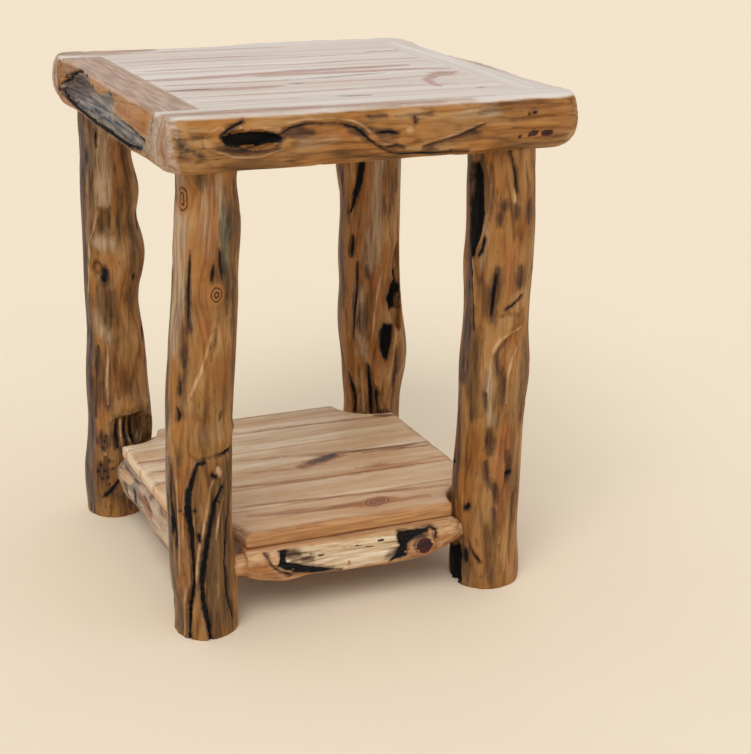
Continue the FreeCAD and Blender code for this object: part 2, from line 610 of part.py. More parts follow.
# Screws up through the ledges into the top boards: the first and last board are held
# by the front and back rails, the others by the side rails
board_screw_places = {"front": [], "back": [], "left": [], "right": []}
for number, middle in enumerate(top_middles):
    y = "Sizes.seam_front + Sizes.panel_depth * %.4f" % middle
    if number == 0:
        y = "(Sizes.seam_front + Sizes.ledge_front) / 2"
    if number == len(top_middles) - 1:
        y = "(Sizes.seam_back + Sizes.ledge_back) / 2"
    if number in (0, len(top_middles) - 1):
        rail = "front" if number == 0 else "back"
        for share in end_board_screw_shares:
            x = "Sizes.seam_left + Sizes.panel_width * %s" % share
            board_screw_places[rail].append((number, x, y))
    else:
        board_screw_places["left"].append((number, "(Sizes.seam_left + Sizes.ledge_left) / 2", y))
        board_screw_places["right"].append((number, "(Sizes.seam_right + Sizes.ledge_right) / 2", y))

# Dowels in the seams between the side rails and the front and back rails
rail_dowel_places = {"left": [], "right": []}
for side in rail_dowel_places:
    for seam in ("Sizes.seam_front", "Sizes.seam_back"):
        for share in rail_dowel_height_shares:
            z = "Sizes.underside_height + Sizes.top_thickness * %s" % share
            rail_dowel_places[side].append(("Sizes.dowel_line_" + side,
                                            "%s - Sizes.rail_dowel_length / 2" % seam, z))

live_top = make_top_slab()
rail_blanks = make_rails(live_top)
for side, blank in rail_blanks.items():
    tools = []
    screw_places = [(x, y, "Sizes.underside_height - Sizes.overrun")
                    for _, x, y in board_screw_places[side]]
    sink_places = [(x, y, "Sizes.underside_height") for _, x, y in board_screw_places[side]]
    tools += bores("rail_%s_screw_bore" % side, "Sizes.board_screw_bore",
                   "Sizes.ledge_thickness + Sizes.overrun * 2", screw_places)
    tools += countersinks("rail_%s_sink" % side, "Sizes.board_screw_radius", sink_places, Vector(0, 0, 1))
    dowel_places = rail_dowel_places["left"] + rail_dowel_places["right"]
    tools += bores("rail_%s_dowel_bore" % side, "Sizes.rail_dowel_bore", "Sizes.rail_dowel_length",
                   dowel_places, Vector(0, 1, 0))
    if side in ("front", "back"):
        for place in ("left", "right"):
            x, y = leg_places["%s_%s" % (side, place)]
            tools.append(cylinder("rail_%s_%s_mortise" % (side, place), "Sizes.top_mortise_radius",
                                  "Sizes.top_tenon_length + Sizes.wood_clearance + Sizes.overrun",
                                  x, y, "Sizes.underside_height - Sizes.overrun"))
            tools.append(cylinder("rail_%s_%s_screw_bore" % (side, place), "Sizes.leg_screw_bore",
                                  "Sizes.ledge_thickness + Sizes.overrun", x, y, "Sizes.underside_height"))
            tools += countersinks("rail_%s_%s_sink" % (side, place), "Sizes.leg_screw_radius",
                                  [(x, y, "Sizes.board_seat_height")], Vector(0, 0, -1))
    keep(cut("top_rail_" + side, blank, fuse("rail_%s_cuts" % side, tools)), "top_rail_" + side)

for place in leg_places:
    keep(make_leg(place), "leg_" + place)

# The boards of the shelf, front to back: where each begins and how wide it is.
# The first and last keep their own width, which takes the copes; the others share the rest.
shelf_rows = [("Sizes.shelf_front", "Sizes.shelf_front_board_width")]
for start, share in zip(start_shares(inner_shelf_board_width_shares), inner_shelf_board_width_shares):
    shelf_rows.append(("Sizes.inner_shelf_front + Sizes.inner_shelf_depth * %s" % start,
                       "Sizes.inner_shelf_depth * %s" % share))
shelf_rows.append(("Sizes.shelf_back_board_front", "Sizes.shelf_back_board_width"))

# Dowel places under the shelf: the end boards lie on the front and back stretchers,
# the others on the side stretchers
shelf_dowel_places = {"front": [], "back": [], "left": [], "right": []}
for number, (start, width) in enumerate(shelf_rows):
    if number in (0, len(shelf_rows) - 1):
        stretcher = "front" if number == 0 else "back"
        y = "Sizes.leg_front + Sizes.shelf_dowel_offset"
        if stretcher == "back":
            y = "Sizes.leg_back - Sizes.shelf_dowel_offset"
        for share in end_dowel_shares:
            x = "Sizes.leg_left + Sizes.leg_span_x * %s" % share
            shelf_dowel_places[stretcher].append((number, x, y))
    else:
        y = "%s + %s / 2" % (start, width)
        shelf_dowel_places["left"].append((number, "Sizes.side_stretcher_left", y))
        shelf_dowel_places["right"].append((number, "Sizes.side_stretcher_right", y))

dowel_foot = "Sizes.shelf_seat_height - Sizes.shelf_dowel_half"
for place in ("front", "back", "left", "right"):
    log, tenon, plane = stretcher_pieces(place)
    tools = [plane]
    tools += bores("stretcher_%s_dowel_bore" % place, "Sizes.shelf_dowel_bore", "Sizes.shelf_dowel_length",
                   [(x, y, dowel_foot) for _, x, y in shelf_dowel_places[place]])
    if place in ("left", "right"):
        log = cut("stretcher_%s_saddled" % place, log, fuse("saddles_" + place, saddles(place)))
    if place == "front":
        along, half_length, half_height, depth = stretcher_hollow_shares
        radius = size("end_stretcher_radius")
        span = size("leg_span_x")
        mouth = Vector(size("leg_left") + span * along, size("leg_front") - radius,
                       size("end_stretcher_height"))
        tools.append(scoop("stretcher_front_worn", mouth, Vector(1, 0, 0), Vector(0, -1, 0),
                           span * half_length, radius * half_height, radius * depth))
    stock = fuse("stretcher_%s_stock" % place, [log, tenon])
    keep(cut("stretcher_" + place, stock, fuse("stretcher_%s_cuts" % place, tools)), "stretcher_" + place)

# The boards of the top, front to back, with a blind hole for each screw
for number, (start, share) in enumerate(zip(top_starts, top_board_width_shares)):
    name = "top_board_%d" % (number + 1)
    plank = board(name, "Sizes.panel_width", "Sizes.panel_depth * %s" % share, "Sizes.board_thickness",
                  "Sizes.seam_left", "Sizes.seam_front + Sizes.panel_depth * %s" % start,
                  "Sizes.board_seat_height")
    holes = []
    for rail, places in board_screw_places.items():
        for board_number, x, y in places:
            if board_number == number:
                holes.append(cylinder("%s_hole_%s_%d" % (name, rail, len(holes)), "Sizes.board_screw_bore",
                                      "Sizes.board_screw_length + Sizes.wood_clearance", x, y,
                                      "Sizes.underside_height"))
    keep(cut(name, plank, fuse(name + "_holes", holes)), name)

# The four corners of the shelf are coped round the legs, each with its own gap
copes = [cylinder("cope_" + place, "Sizes.leg_radius + Sizes.cope_gap_" + place,
                  "Sizes.shelf_thickness + 2 * Sizes.overrun", x, y,
                  "Sizes.shelf_seat_height - Sizes.overrun")
         for place, (x, y) in leg_places.items()]
leg_copes = fuse("leg_copes", copes)
for number, (start, width) in enumerate(shelf_rows):
    name = "shelf_board_%d" % (number + 1)
    plank = board(name, "Sizes.shelf_length", width, "Sizes.shelf_thickness",
                  "Sizes.shelf_left", start, "Sizes.shelf_seat_height")
    sockets = []
    for stretcher, places in shelf_dowel_places.items():
        for board_number, x, y in places:
            if board_number == number:
                sockets.append(cylinder("%s_socket_%s_%d" % (name, stretcher, len(sockets)),
                                        "Sizes.shelf_dowel_bore", "Sizes.shelf_dowel_length",
                                        x, y, dowel_foot))
    drilled = cut(name + "_drilled", plank, fuse(name + "_sockets", sockets))
    keep(cut(name, drilled, leg_copes), name)

# The fasteners, grouped by kind
up = Vector(0, 0, 1)
down = Vector(0, 0, -1)
rail_dowels = bores("rail_dowel", "Sizes.rail_dowel_radius", "Sizes.rail_dowel_length",
                    rail_dowel_places["left"] + rail_dowel_places["right"], Vector(0, 1, 0))
keep(compound("rail_dowels", rail_dowels), "rail_dowels")
shelf_dowels = bores("shelf_dowel", "Sizes.shelf_dowel_radius", "Sizes.shelf_dowel_length",
                     [(x, y, dowel_foot) for places in shelf_dowel_places.values() for _, x, y in places])
keep(compound("shelf_dowels", shelf_dowels), "shelf_dowels")
board_screws = [screw("board_screw_%s_%d" % (rail, number), "Sizes.board_screw_radius",
                      "Sizes.board_screw_length", x, y, "Sizes.underside_height", up)
                for rail, places in board_screw_places.items()
                for number, (_, x, y) in enumerate(places, start=1)]
keep(compound("top_board_screws", board_screws), "top_board_screws")
leg_screws = [screw("leg_screw_" + place, "Sizes.leg_screw_radius", "Sizes.leg_screw_length",
                    x, y, "Sizes.board_seat_height", down)
              for place, (x, y) in leg_places.items()]
keep(compound("leg_screws", leg_screws), "leg_screws")
doc.recompute()

for thing in doc.Objects:
    if "Invalid" in thing.State or "Error" in thing.State:
        raise RuntimeError("%s did not build" % thing.Label)
for thing in subparts:
    if thing.Shape.isNull() or not thing.Shape.isValid() or not thing.Shape.Solids:
        raise RuntimeError("%s has no valid solid" % thing.Label)

os.makedirs("parts", exist_ok=True)
for thing in subparts:
    thing.Shape.exportStep("parts/%s.step" % thing.Label)
    print(thing.Label, len(thing.Shape.Solids), round(thing.Shape.Volume))
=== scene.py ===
import math
import random
import bpy
import numpy as np
from mathutils import Matrix, Vector, noise


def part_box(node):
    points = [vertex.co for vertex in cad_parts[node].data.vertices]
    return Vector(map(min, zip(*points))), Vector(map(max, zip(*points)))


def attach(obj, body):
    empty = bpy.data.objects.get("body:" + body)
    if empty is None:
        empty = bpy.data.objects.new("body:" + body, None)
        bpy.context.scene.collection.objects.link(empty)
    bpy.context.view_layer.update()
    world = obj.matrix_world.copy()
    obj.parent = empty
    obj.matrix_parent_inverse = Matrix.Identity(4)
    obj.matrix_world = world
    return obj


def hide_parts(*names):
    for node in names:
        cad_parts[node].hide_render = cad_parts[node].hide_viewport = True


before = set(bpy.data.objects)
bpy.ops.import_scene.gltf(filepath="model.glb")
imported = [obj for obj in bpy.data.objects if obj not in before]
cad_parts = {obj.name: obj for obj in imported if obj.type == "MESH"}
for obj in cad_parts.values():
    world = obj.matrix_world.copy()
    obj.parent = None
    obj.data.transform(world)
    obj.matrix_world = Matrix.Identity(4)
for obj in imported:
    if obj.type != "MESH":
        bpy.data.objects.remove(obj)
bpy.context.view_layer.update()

scene = bpy.context.scene
scene.view_settings.view_transform = "Standard"

# Camera: place in metres, angles in degrees, focal length and centre in pixels of the frame
shot = {"place": (-0.7622, -1.9519, 0.9629), "yaw": 22.863, "pitch": 18.311, "roll": 0.639,
        "focal": 1653.77, "centre": (340, 350), "size": (751, 754), "sensor": 36}


def addCamera():
    yaw, pitch, roll = (math.radians(shot[part]) for part in ("yaw", "pitch", "roll"))
    ahead = Vector((math.sin(yaw) * math.cos(pitch), math.cos(yaw) * math.cos(pitch), -math.sin(pitch)))
    level = Vector((math.cos(yaw), -math.sin(yaw), 0))
    upright = level.cross(ahead)
    right = math.cos(roll) * level + math.sin(roll) * upright
    up = math.cos(roll) * upright - math.sin(roll) * level
    width, height = shot["size"]
    data = bpy.data.cameras.new("camera")
    data.sensor_width = shot["sensor"]
    data.lens = shot["focal"] / max(width, height) * shot["sensor"]
    data.shift_x = (width / 2 - shot["centre"][0]) / height
    data.shift_y = (shot["centre"][1] - height / 2) / height
    camera = bpy.data.objects.new("camera", data)
    bpy.context.collection.objects.link(camera)
    camera.matrix_world = Matrix((right, up, -ahead)).transposed().to_4x4()
    camera.location = shot["place"]
    scene.camera = camera


addCamera()
print("camera set")


# Node helpers

def colour(red, green, blue):    # as a colour picker shows it, 0 to 255
    def linear(part):
        part = part / 255
        return part / 12.92 if part <= 0.04045 else ((part + 0.055) / 1.055) ** 2.4
    return (linear(red), linear(green), linear(blue), 1)


def wire(tree, socket, value):
    if isinstance(value, bpy.types.NodeSocket):
        tree.links.new(value, socket)
    else:
        socket.default_value = value


def mathNode(tree, operation, *values, clamp=False):
    node = tree.nodes.new("ShaderNodeMath")
    node.operation = operation
    node.use_clamp = clamp
    for socket, value in zip(node.inputs, values):
        wire(tree, socket, value)
    return node.outputs[0]


def vectorNode(tree, operation, *values):
    node = tree.nodes.new("ShaderNodeVectorMath")
    node.operation = operation
    for socket, value in zip(node.inputs, values):
        wire(tree, socket, value)
    return node.outputs[0]


def noiseNode(tree, vector, scale, detail=3, roughness=0.5, output=0):
    node = tree.nodes.new("ShaderNodeTexNoise")
    wire(tree, node.inputs["Vector"], vector)
    wire(tree, node.inputs["Scale"], scale)
    node.inputs["Detail"].default_value = detail
    node.inputs["Roughness"].default_value = roughness
    return node.outputs[output]


def stretchedNoise(tree, vector, stretch, detail, roughness):
    return noiseNode(tree, vectorNode(tree, "MULTIPLY", vector, stretch), 1.0, detail, roughness)


def rampNode(tree, factor, stops):
    node = tree.nodes.new("ShaderNodeValToRGB")
    wire(tree, node.inputs[0], factor)
    elements = node.color_ramp.elements
    while len(elements) < len(stops):
        elements.new(0.5)
    for element, (place, shade) in zip(elements, stops):
        element.position = place
        element.color = shade
    return node.outputs[0]


def mixNode(tree, factor, first, second, blend="MIX"):
    node = tree.nodes.new("ShaderNodeMix")
    node.data_type = "RGBA"
    node.blend_type = blend
    for socket, value in ((node.inputs[0], factor), (node.inputs[6], first), (node.inputs[7], second)):
        wire(tree, socket, value)
    return node.outputs[2]


def stepNode(tree, value, low, high, top=1.0):
    node = tree.nodes.new("ShaderNodeMapRange")
    node.interpolation_type = "SMOOTHSTEP"
    for socket, setting in zip(node.inputs, (value, low, high, 0.0, top)):
        wire(tree, socket, setting)
    return node.outputs[0]


def readNode(tree, name, output="Fac"):
    node = tree.nodes.new("ShaderNodeAttribute")
    node.attribute_name = name
    return node.outputs[output]


def newGroup(name, inputs, outputs):
    group = bpy.data.node_groups.new(name, "ShaderNodeTree")
    for label, kind, value in inputs:
        socket = group.interface.new_socket(label, in_out="INPUT", socket_type="NodeSocket" + kind)
        if value is not None:
            socket.default_value = value
    for label, kind in outputs:
        group.interface.new_socket(label, in_out="OUTPUT", socket_type="NodeSocket" + kind)
    return group, group.nodes.new("NodeGroupInput").outputs, group.nodes.new("NodeGroupOutput").inputs


def placeGroup(tree, group, values):
    node = tree.nodes.new("ShaderNodeGroup")
    node.node_tree = group
    for label, value in values.items():
        wire(tree, node.inputs[label], value)
    return node.outputs


# Long grain: bands, fibres, patches, thin creases and growth rings, along the third axis of Grain
def makeGrainGroup():
    group, given, out = newGroup("longGrain", (
        ("Grain", "Vector", None), ("Width", "Float", 0.014), ("Stretch", "Float", 9.0),
        ("Wander", "Float", 0.012), ("Ring Width", "Float", 0.004)),
        (("Bands", "Float"), ("Fibres", "Float"), ("Patches", "Float"), ("Creases", "Float"),
         ("Rings", "Float"), ("Height", "Float")))
    shift = noiseNode(group, vectorNode(group, "MULTIPLY", given["Grain"], (1, 1, 0.35)), 16.0, 2, 0.5, 1)
    shift = vectorNode(group, "SUBTRACT", shift, (0.5, 0.5, 0.5))
    scaled = group.nodes.new("ShaderNodeVectorMath")
    scaled.operation = "SCALE"
    wire(group, scaled.inputs[0], shift)
    wire(group, scaled.inputs["Scale"], given["Wander"])
    bent = vectorNode(group, "ADD", given["Grain"], scaled.outputs[0])
    squeeze = group.nodes.new("ShaderNodeCombineXYZ")
    across = mathNode(group, "DIVIDE", 1.0, given["Width"])
    wire(group, squeeze.inputs[0], across)
    wire(group, squeeze.inputs[1], across)
    wire(group, squeeze.inputs[2], mathNode(group, "DIVIDE", across, given["Stretch"]))
    long = vectorNode(group, "MULTIPLY", bent, squeeze.outputs[0])
    bands = noiseNode(group, long, 1.0, 4, 0.6)
    fibres = stretchedNoise(group, long, (5, 5, 2.2), 4, 0.65)
    patches = noiseNode(group, vectorNode(group, "MULTIPLY", bent, (1, 1, 0.5)), 25.0, 3, 0.5)
    path = noiseNode(group, vectorNode(group, "MULTIPLY", long, (1.3, 1.3, 0.75)), 0.8, 3, 0.5)
    line = mathNode(group, "ABSOLUTE", mathNode(group, "SUBTRACT", path, 0.47))
    where = stepNode(group, noiseNode(group, bent, 26.0, 2, 0.5), 0.44, 0.60)
    creases = mathNode(group, "SUBTRACT", 1.0, stepNode(group, line, 0.004, 0.035))
    creases = mathNode(group, "MULTIPLY", creases, where)
    parts = group.nodes.new("ShaderNodeSeparateXYZ")
    wire(group, parts.inputs[0], bent)
    reach = mathNode(group, "SQRT", mathNode(group, "ADD", mathNode(group, "POWER", parts.outputs[0], 2.0),
                                             mathNode(group, "POWER", parts.outputs[1], 2.0)))
    turns = mathNode(group, "MULTIPLY", mathNode(group, "DIVIDE", reach, given["Ring Width"]), math.tau)
    rings = mathNode(group, "MULTIPLY_ADD", mathNode(group, "SINE", turns), 0.5, 0.5)
    height = mathNode(group, "ADD", mathNode(group, "MULTIPLY", bands, 0.5),
                      mathNode(group, "MULTIPLY", fibres, 0.5))
    wire(group, out["Bands"], bands)
    wire(group, out["Fibres"], fibres)
    wire(group, out["Patches"], patches)
    wire(group, out["Creases"], creases)
    wire(group, out["Rings"], mathNode(group, "POWER", rings, 3.0))
    wire(group, out["Height"], mathNode(group, "MULTIPLY_ADD", creases, -0.6, height))
    return group


# A mesh says how far inside a mark each point is, in mm, plus this, so no value at all means far outside
farOff = 12


# How much of a mark shows at a point, with a ragged edge
def makeTornGroup():
    group, given, out = newGroup("tornEdge", (
        ("Inside", "Float", 0.0), ("Rough", "Float", 0.5), ("Tear", "Float", 8.0), ("Low", "Float", -1.0),
        ("High", "Float", 1.0), ("Strength", "Float", 1.0)), (("Mask", "Float"),))
    ragged = mathNode(group, "SUBTRACT", given["Rough"], 0.5)
    ragged = mathNode(group, "MULTIPLY_ADD", ragged, given["Tear"], -farOff)
    shown = stepNode(group, mathNode(group, "ADD", given["Inside"], ragged), given["Low"], given["High"])
    wire(group, out["Mask"], mathNode(group, "MULTIPLY", shown, given["Strength"]))
    return group


# Short dark dashes along the grain
def makeFleckGroup():
    group, given, out = newGroup("flecks", (
        ("Grain", "Vector", None), ("Size", "Float", 210.0), ("Amount", "Float", 0.5)), (("Mask", "Float"),))
    long = vectorNode(group, "MULTIPLY", given["Grain"], (1, 1, 0.2))
    dashes = noiseNode(group, long, given["Size"], 2, 0.5)
    rare = noiseNode(group, given["Grain"], 34.0, 2, 0.5)
    both = mathNode(group, "MULTIPLY", stepNode(group, dashes, 0.62, 0.70),
                    stepNode(group, rare, 0.48, 0.60))
    wire(group, out["Mask"], mathNode(group, "MULTIPLY", both, given["Amount"]))
    return group


# A round knot, dark and light rings: Inside is 1 at its middle and 0 at its rim, plus farOff
def makeKnotGroup():
    group, given, out = newGroup("knotRings", (
        ("Inside", "Float", 0.0), ("Rough", "Float", 0.5), ("Dark", "Color", None),
        ("Light", "Color", None)), (("Color", "Color"), ("Mask", "Float")))
    place = mathNode(group, "SUBTRACT", given["Rough"], 0.5)
    place = mathNode(group, "MULTIPLY_ADD", place, 0.5, given["Inside"])
    place = mathNode(group, "SUBTRACT", place, farOff - 1)
    place = mathNode(group, "MULTIPLY", place, 0.5, clamp=True)

    def greys(*stops):
        return [(where, (part, part, part, 1)) for where, part in stops]

    rings = rampNode(group, place, greys((0.30, 0.9), (0.44, 0.85), (0.51, 0.1), (0.57, 0.1), (0.65, 0.95),
                                         (0.72, 0.8), (0.79, 0.0), (0.85, 0.1), (0.95, 0.9)))
    wire(group, out["Color"], mixNode(group, rings, given["Dark"], given["Light"]))
    wire(group, out["Mask"], rampNode(group, place, greys((0.1, 0.0), (0.4, 0.7), (0.5, 0.95), (0.8, 1.0))))
    return group


# Planed wood: soft stripes between two shades, wider warm zones and a few coloured streaks.
# Hair is how much of the fine grain shows.
def makePlanedGroup(grainGroup):
    group, given, out = newGroup("planedWood", (
        ("Grain", "Vector", None), ("Light", "Color", None), ("Shade", "Color", None),
        ("Warm", "Color", None), ("Streak", "Color", None), ("Line", "Color", None),
        ("Warmth", "Float", 0.4), ("Streaks", "Float", 0.5), ("Width", "Float", 0.012),
        ("Hair", "Float", 1.0)),
        (("Color", "Color"), ("Height", "Float")))
    grain = placeGroup(group, grainGroup, {"Grain": given["Grain"], "Width": given["Width"], "Stretch": 34.0,
                                           "Wander": 0.006, "Ring Width": 0.007})
    tone = mathNode(group, "ADD", mathNode(group, "MULTIPLY", grain["Bands"], 0.85),
                    mathNode(group, "MULTIPLY", grain["Fibres"], 0.15))
    calm = stretchedNoise(group, given["Grain"], (42, 42, 1.3), 1, 0.4)
    tone = mathNode(group, "MULTIPLY_ADD", mathNode(group, "SUBTRACT", tone, calm), given["Hair"], calm)
    body = mixNode(group, stepNode(group, tone, 0.39, 0.56), given["Shade"], given["Light"])
    zones = stepNode(group, stretchedNoise(group, given["Grain"], (34, 34, 1.6), 2, 0.5), 0.42, 0.62)
    streaks = stepNode(group, stretchedNoise(group, given["Grain"], (70, 70, 1.3), 3, 0.55), 0.55, 0.70)
    hairs = stepNode(group, stretchedNoise(group, given["Grain"], (360, 360, 4), 3, 0.6), 0.58, 0.74, 0.2)
    for field, amount, shade in ((zones, given["Warmth"], "Warm"), (grain["Rings"], 0.1, "Line"),
                                 (streaks, given["Streaks"], "Streak"), (hairs, given["Hair"], "Line")):
        body = mixNode(group, mathNode(group, "MULTIPLY", field, amount), body, given[shade])
    wire(group, out["Color"], body)
    wire(group, out["Height"], grain["Height"])
    return group


grainGroup = makeGrainGroup()
tornGroup = makeTornGroup()
fleckGroup = makeFleckGroup()
knotGroup = makeKnotGroup()
planedGroup = makePlanedGroup(grainGroup)

# Shades of wood, from the bottom of a furrow to the top of a ridge
legShades = {"deep": colour(72, 42, 20), "dark": colour(112, 72, 34), "mid": colour(142, 96, 48),
             "light": colour(160, 114, 62), "pale": colour(180, 138, 90), "glow": colour(156, 96, 36),
             "dull": colour(134, 106, 70), "width": 0.015, "stretch": 6.0, "glowAmount": 0.5,
             "dullAmount": 0.45, "roughness": 0.5}
edgeShades = {"deep": colour(102, 60, 24), "dark": colour(138, 88, 42), "mid": colour(160, 108, 54),
              "light": colour(172, 122, 68), "pale": colour(186, 144, 98), "glow": colour(170, 106, 36),
              "dull": colour(150, 118, 76), "width": 0.014, "stretch": 8.0, "glowAmount": 0.5,
              "dullAmount": 0.3, "roughness": 0.44}
stretcherShades = {"deep": colour(126, 80, 42), "dark": colour(172, 122, 74), "mid": colour(194, 148, 102),
                   "light": colour(206, 166, 124), "pale": colour(220, 190, 154),
                   "glow": colour(186, 118, 56), "dull": colour(190, 160, 126), "width": 0.014,
                   "stretch": 9.0, "glowAmount": 0.5, "dullAmount": 0.4, "roughness": 0.45}
peeledShades = {"deep": colour(72, 52, 38), "dark": colour(124, 100, 82), "mid": colour(168, 144, 122),
                "light": colour(190, 168, 148), "pale": colour(214, 196, 176),
                "glow": colour(176, 134, 88), "dull": colour(150, 138, 130), "width": 0.011,
                "stretch": 8.0, "glowAmount": 0.45, "dullAmount": 0.5, "roughness": 0.5}

# Each kind of mark in two shades
markShades = {
    # pale grey-tan wash, also a painted highlight on the lobes of a leg
    "bleach": (colour(142, 116, 90), colour(184, 158, 128)),
    # painted shade: dark brown on the sides away from the light, in recesses and under overhangs
    "shade": (colour(56, 38, 22), colour(106, 78, 46)),
    "red": (colour(128, 72, 34), colour(168, 104, 54)),
    # grey-lilac, also painted shade down a leg's left side
    "grey": (colour(98, 82, 76), colour(152, 134, 122)),
    # dark slate: painted shade down the legs' sides and in hollows; on the shelf the dark middle of a knot
    "slate": (colour(44, 36, 36), colour(96, 82, 80)),
    # light tan, also a painted highlight along ridges and on knobs
    "pale": (colour(180, 134, 88), colour(220, 182, 138)),
    "stain": (colour(46, 27, 18), colour(92, 58, 36)),
    "moss": (colour(36, 38, 30), colour(112, 106, 84)),
    # painted shadow: dark brown round the black of cracks, holes and hollows
    "halo": (colour(46, 26, 15), colour(92, 56, 30)),
    # painted shade: near black inside cracks, grooves, holes and hollows
    "bark": (colour(3, 3, 4), colour(22, 20, 20)),
    "pit": (colour(40, 17, 19), colour(72, 28, 28)),
    "heart": (colour(160, 112, 96), colour(192, 150, 134)),
    "tan": (colour(146, 104, 74), colour(188, 152, 124)),
    "ashen": (colour(158, 130, 110), colour(196, 170, 150)),
}

# How each shows: the noise that tears its edge and by how much, where it starts and is full, both in
# mm, and its strength
markLooks = {
    "bleach": ("broad", 34, -7, 8, 0.8),
    "shade": ("broad", 36, -8, 9, 0.85),
    "red": ("broad", 26, -5, 6, 0.7),
    "grey": ("broad", 28, -6, 7, 0.8),
    "slate": ("broad", 26, -5, 6, 0.9),
    "pale": ("broad", 6, -1.6, 1.4, 0.64),
    "stain": ("broad", 15, -4, 4, 0.88),
    "moss": ("fine", 14, -2.5, 3, 0.9),
    "weather": ("broad", 6, -1, 1, 1),
    "worn": ("broad", 8, -1.4, 1.4, 1),
    "heart": ("broad", 10, -4, 3.5, 0.75),
    "tan": ("broad", 15, -8, 8, 0.86),
    "planed": ("broad", 6, -1.8, 1.6, 1),
    "halo": ("broad", 14, -4.5, 0.5, 0.8),
    "bark": ("broad", 3.4, -0.8, 0.7, 1),
    "pit": ("fine", 7, -0.7, 0.8, 1),
    "ashen": ("broad", 22, -4, 6, 0.9),
}

# Bare weathered wood and worn wood, from the dark streaks to the light ones
weatherShades = ((0.28, colour(22, 22, 26)), (0.40, colour(58, 56, 60)), (0.48, colour(104, 98, 98)),
                 (0.58, colour(142, 132, 124)), (0.72, colour(176, 164, 148)))
wornShades = ((0.28, colour(120, 84, 50)), (0.38, colour(186, 154, 116)), (0.52, colour(214, 190, 156)),
              (0.68, colour(232, 214, 186)))

# Planed wood: the top, then the shelf
planedShades = {"Light": colour(226, 217, 206), "Shade": colour(209, 194, 180),
                "Warm": colour(208, 182, 166), "Streak": colour(188, 156, 142),
                "Line": colour(176, 150, 134), "Warmth": 0.3, "Streaks": 0.35, "Width": 0.016, "Hair": 0.75}
shelfShades = {"Light": colour(238, 219, 188), "Shade": colour(219, 189, 150),
               "Warm": colour(200, 148, 98), "Streak": colour(172, 118, 72),
               "Line": colour(180, 130, 86), "Warmth": 0.4, "Streaks": 0.24, "Width": 0.024, "Hair": 0.24}

# The shelf's own pairs of shades for some marks
shelfWashes = {
    "heart": (colour(140, 86, 48), colour(186, 132, 86)),
    "tan": (colour(160, 106, 58), colour(194, 142, 92)),
    "red": (colour(134, 74, 44), colour(180, 112, 74)),
    "stain": (colour(84, 50, 34), colour(136, 88, 54)),
}


def newMaterial(name):
    material = bpy.data.materials.new(name)
    material.use_nodes = True
    tree = material.node_tree
    surface = tree.nodes["Principled BSDF"]
    surface.inputs["Specular IOR Level"].default_value = 0.25
    return material, tree, surface


def bumpNode(tree, height, strength, distance):
    node = tree.nodes.new("ShaderNodeBump")
    node.inputs["Strength"].default_value = strength
    node.inputs["Distance"].default_value = distance
    wire(tree, node.inputs["Height"], height)
    return node.outputs[0]


def finishSurface(tree, surface, shade, roughness, normal):
    for name, value in (("Base Color", shade), ("Roughness", roughness), ("Normal", normal)):
        wire(tree, surface.inputs[name], value)


# The two noises that tear the edges of marks, and the streaks inside them
def roughNoises(tree, grain):
    return {"fine": stretchedNoise(tree, grain, (260, 260, 70), 3, 0.6),
            "broad": stretchedNoise(tree, grain, (110, 110, 22), 4, 0.6),
            "streaks": stretchedNoise(tree, grain, (250, 250, 16), 3, 0.55)}


def markMask(tree, roughs, name, attribute=None):
    rough, tear, low, high, strength = markLooks[name]
    torn = placeGroup(tree, tornGroup, {
        "Inside": readNode(tree, attribute or name), "Rough": roughs[rough], "Tear": tear, "Low": low,
        "High": high, "Strength": strength})
    return torn["Mask"]


def layMark(tree, roughs, body, name, attribute=None, pair=None):
    dark, light = pair or markShades[name]
    shade = mixNode(tree, stepNode(tree, roughs["streaks"], 0.38, 0.62), dark, light)
    return mixNode(tree, markMask(tree, roughs, name, attribute), body, shade)


def layKnots(tree, roughs, body, dark, light):
    knot = placeGroup(tree, knotGroup, {"Inside": readNode(tree, "knot"), "Rough": roughs["fine"],
                                        "Dark": dark, "Light": light})
    return mixNode(tree, knot["Mask"], body, knot["Color"])


# What makes the tone of peeled wood, where its five shades lie and where its glow and dull patches
# begin and are full; then how strongly lines, flecks and relief show, bump in metres
peeledLook = {"tone": {"Bands": 0.42, "Fibres": 0.16, "Patches": 0.42}, "furrow": 0.14,
              "stops": {"deep": 0.36, "dark": 0.44, "mid": 0.50, "light": 0.56, "pale": 0.65},
              "glow": (0.47, 0.64), "dull": (0.50, 0.34), "rings": 0.05, "creases": 0.35, "flecks": 0.5,
              "gloss": 0.25, "black": 0.4, "planed": -0.8, "relief": 0.5, "bump": 0.002}


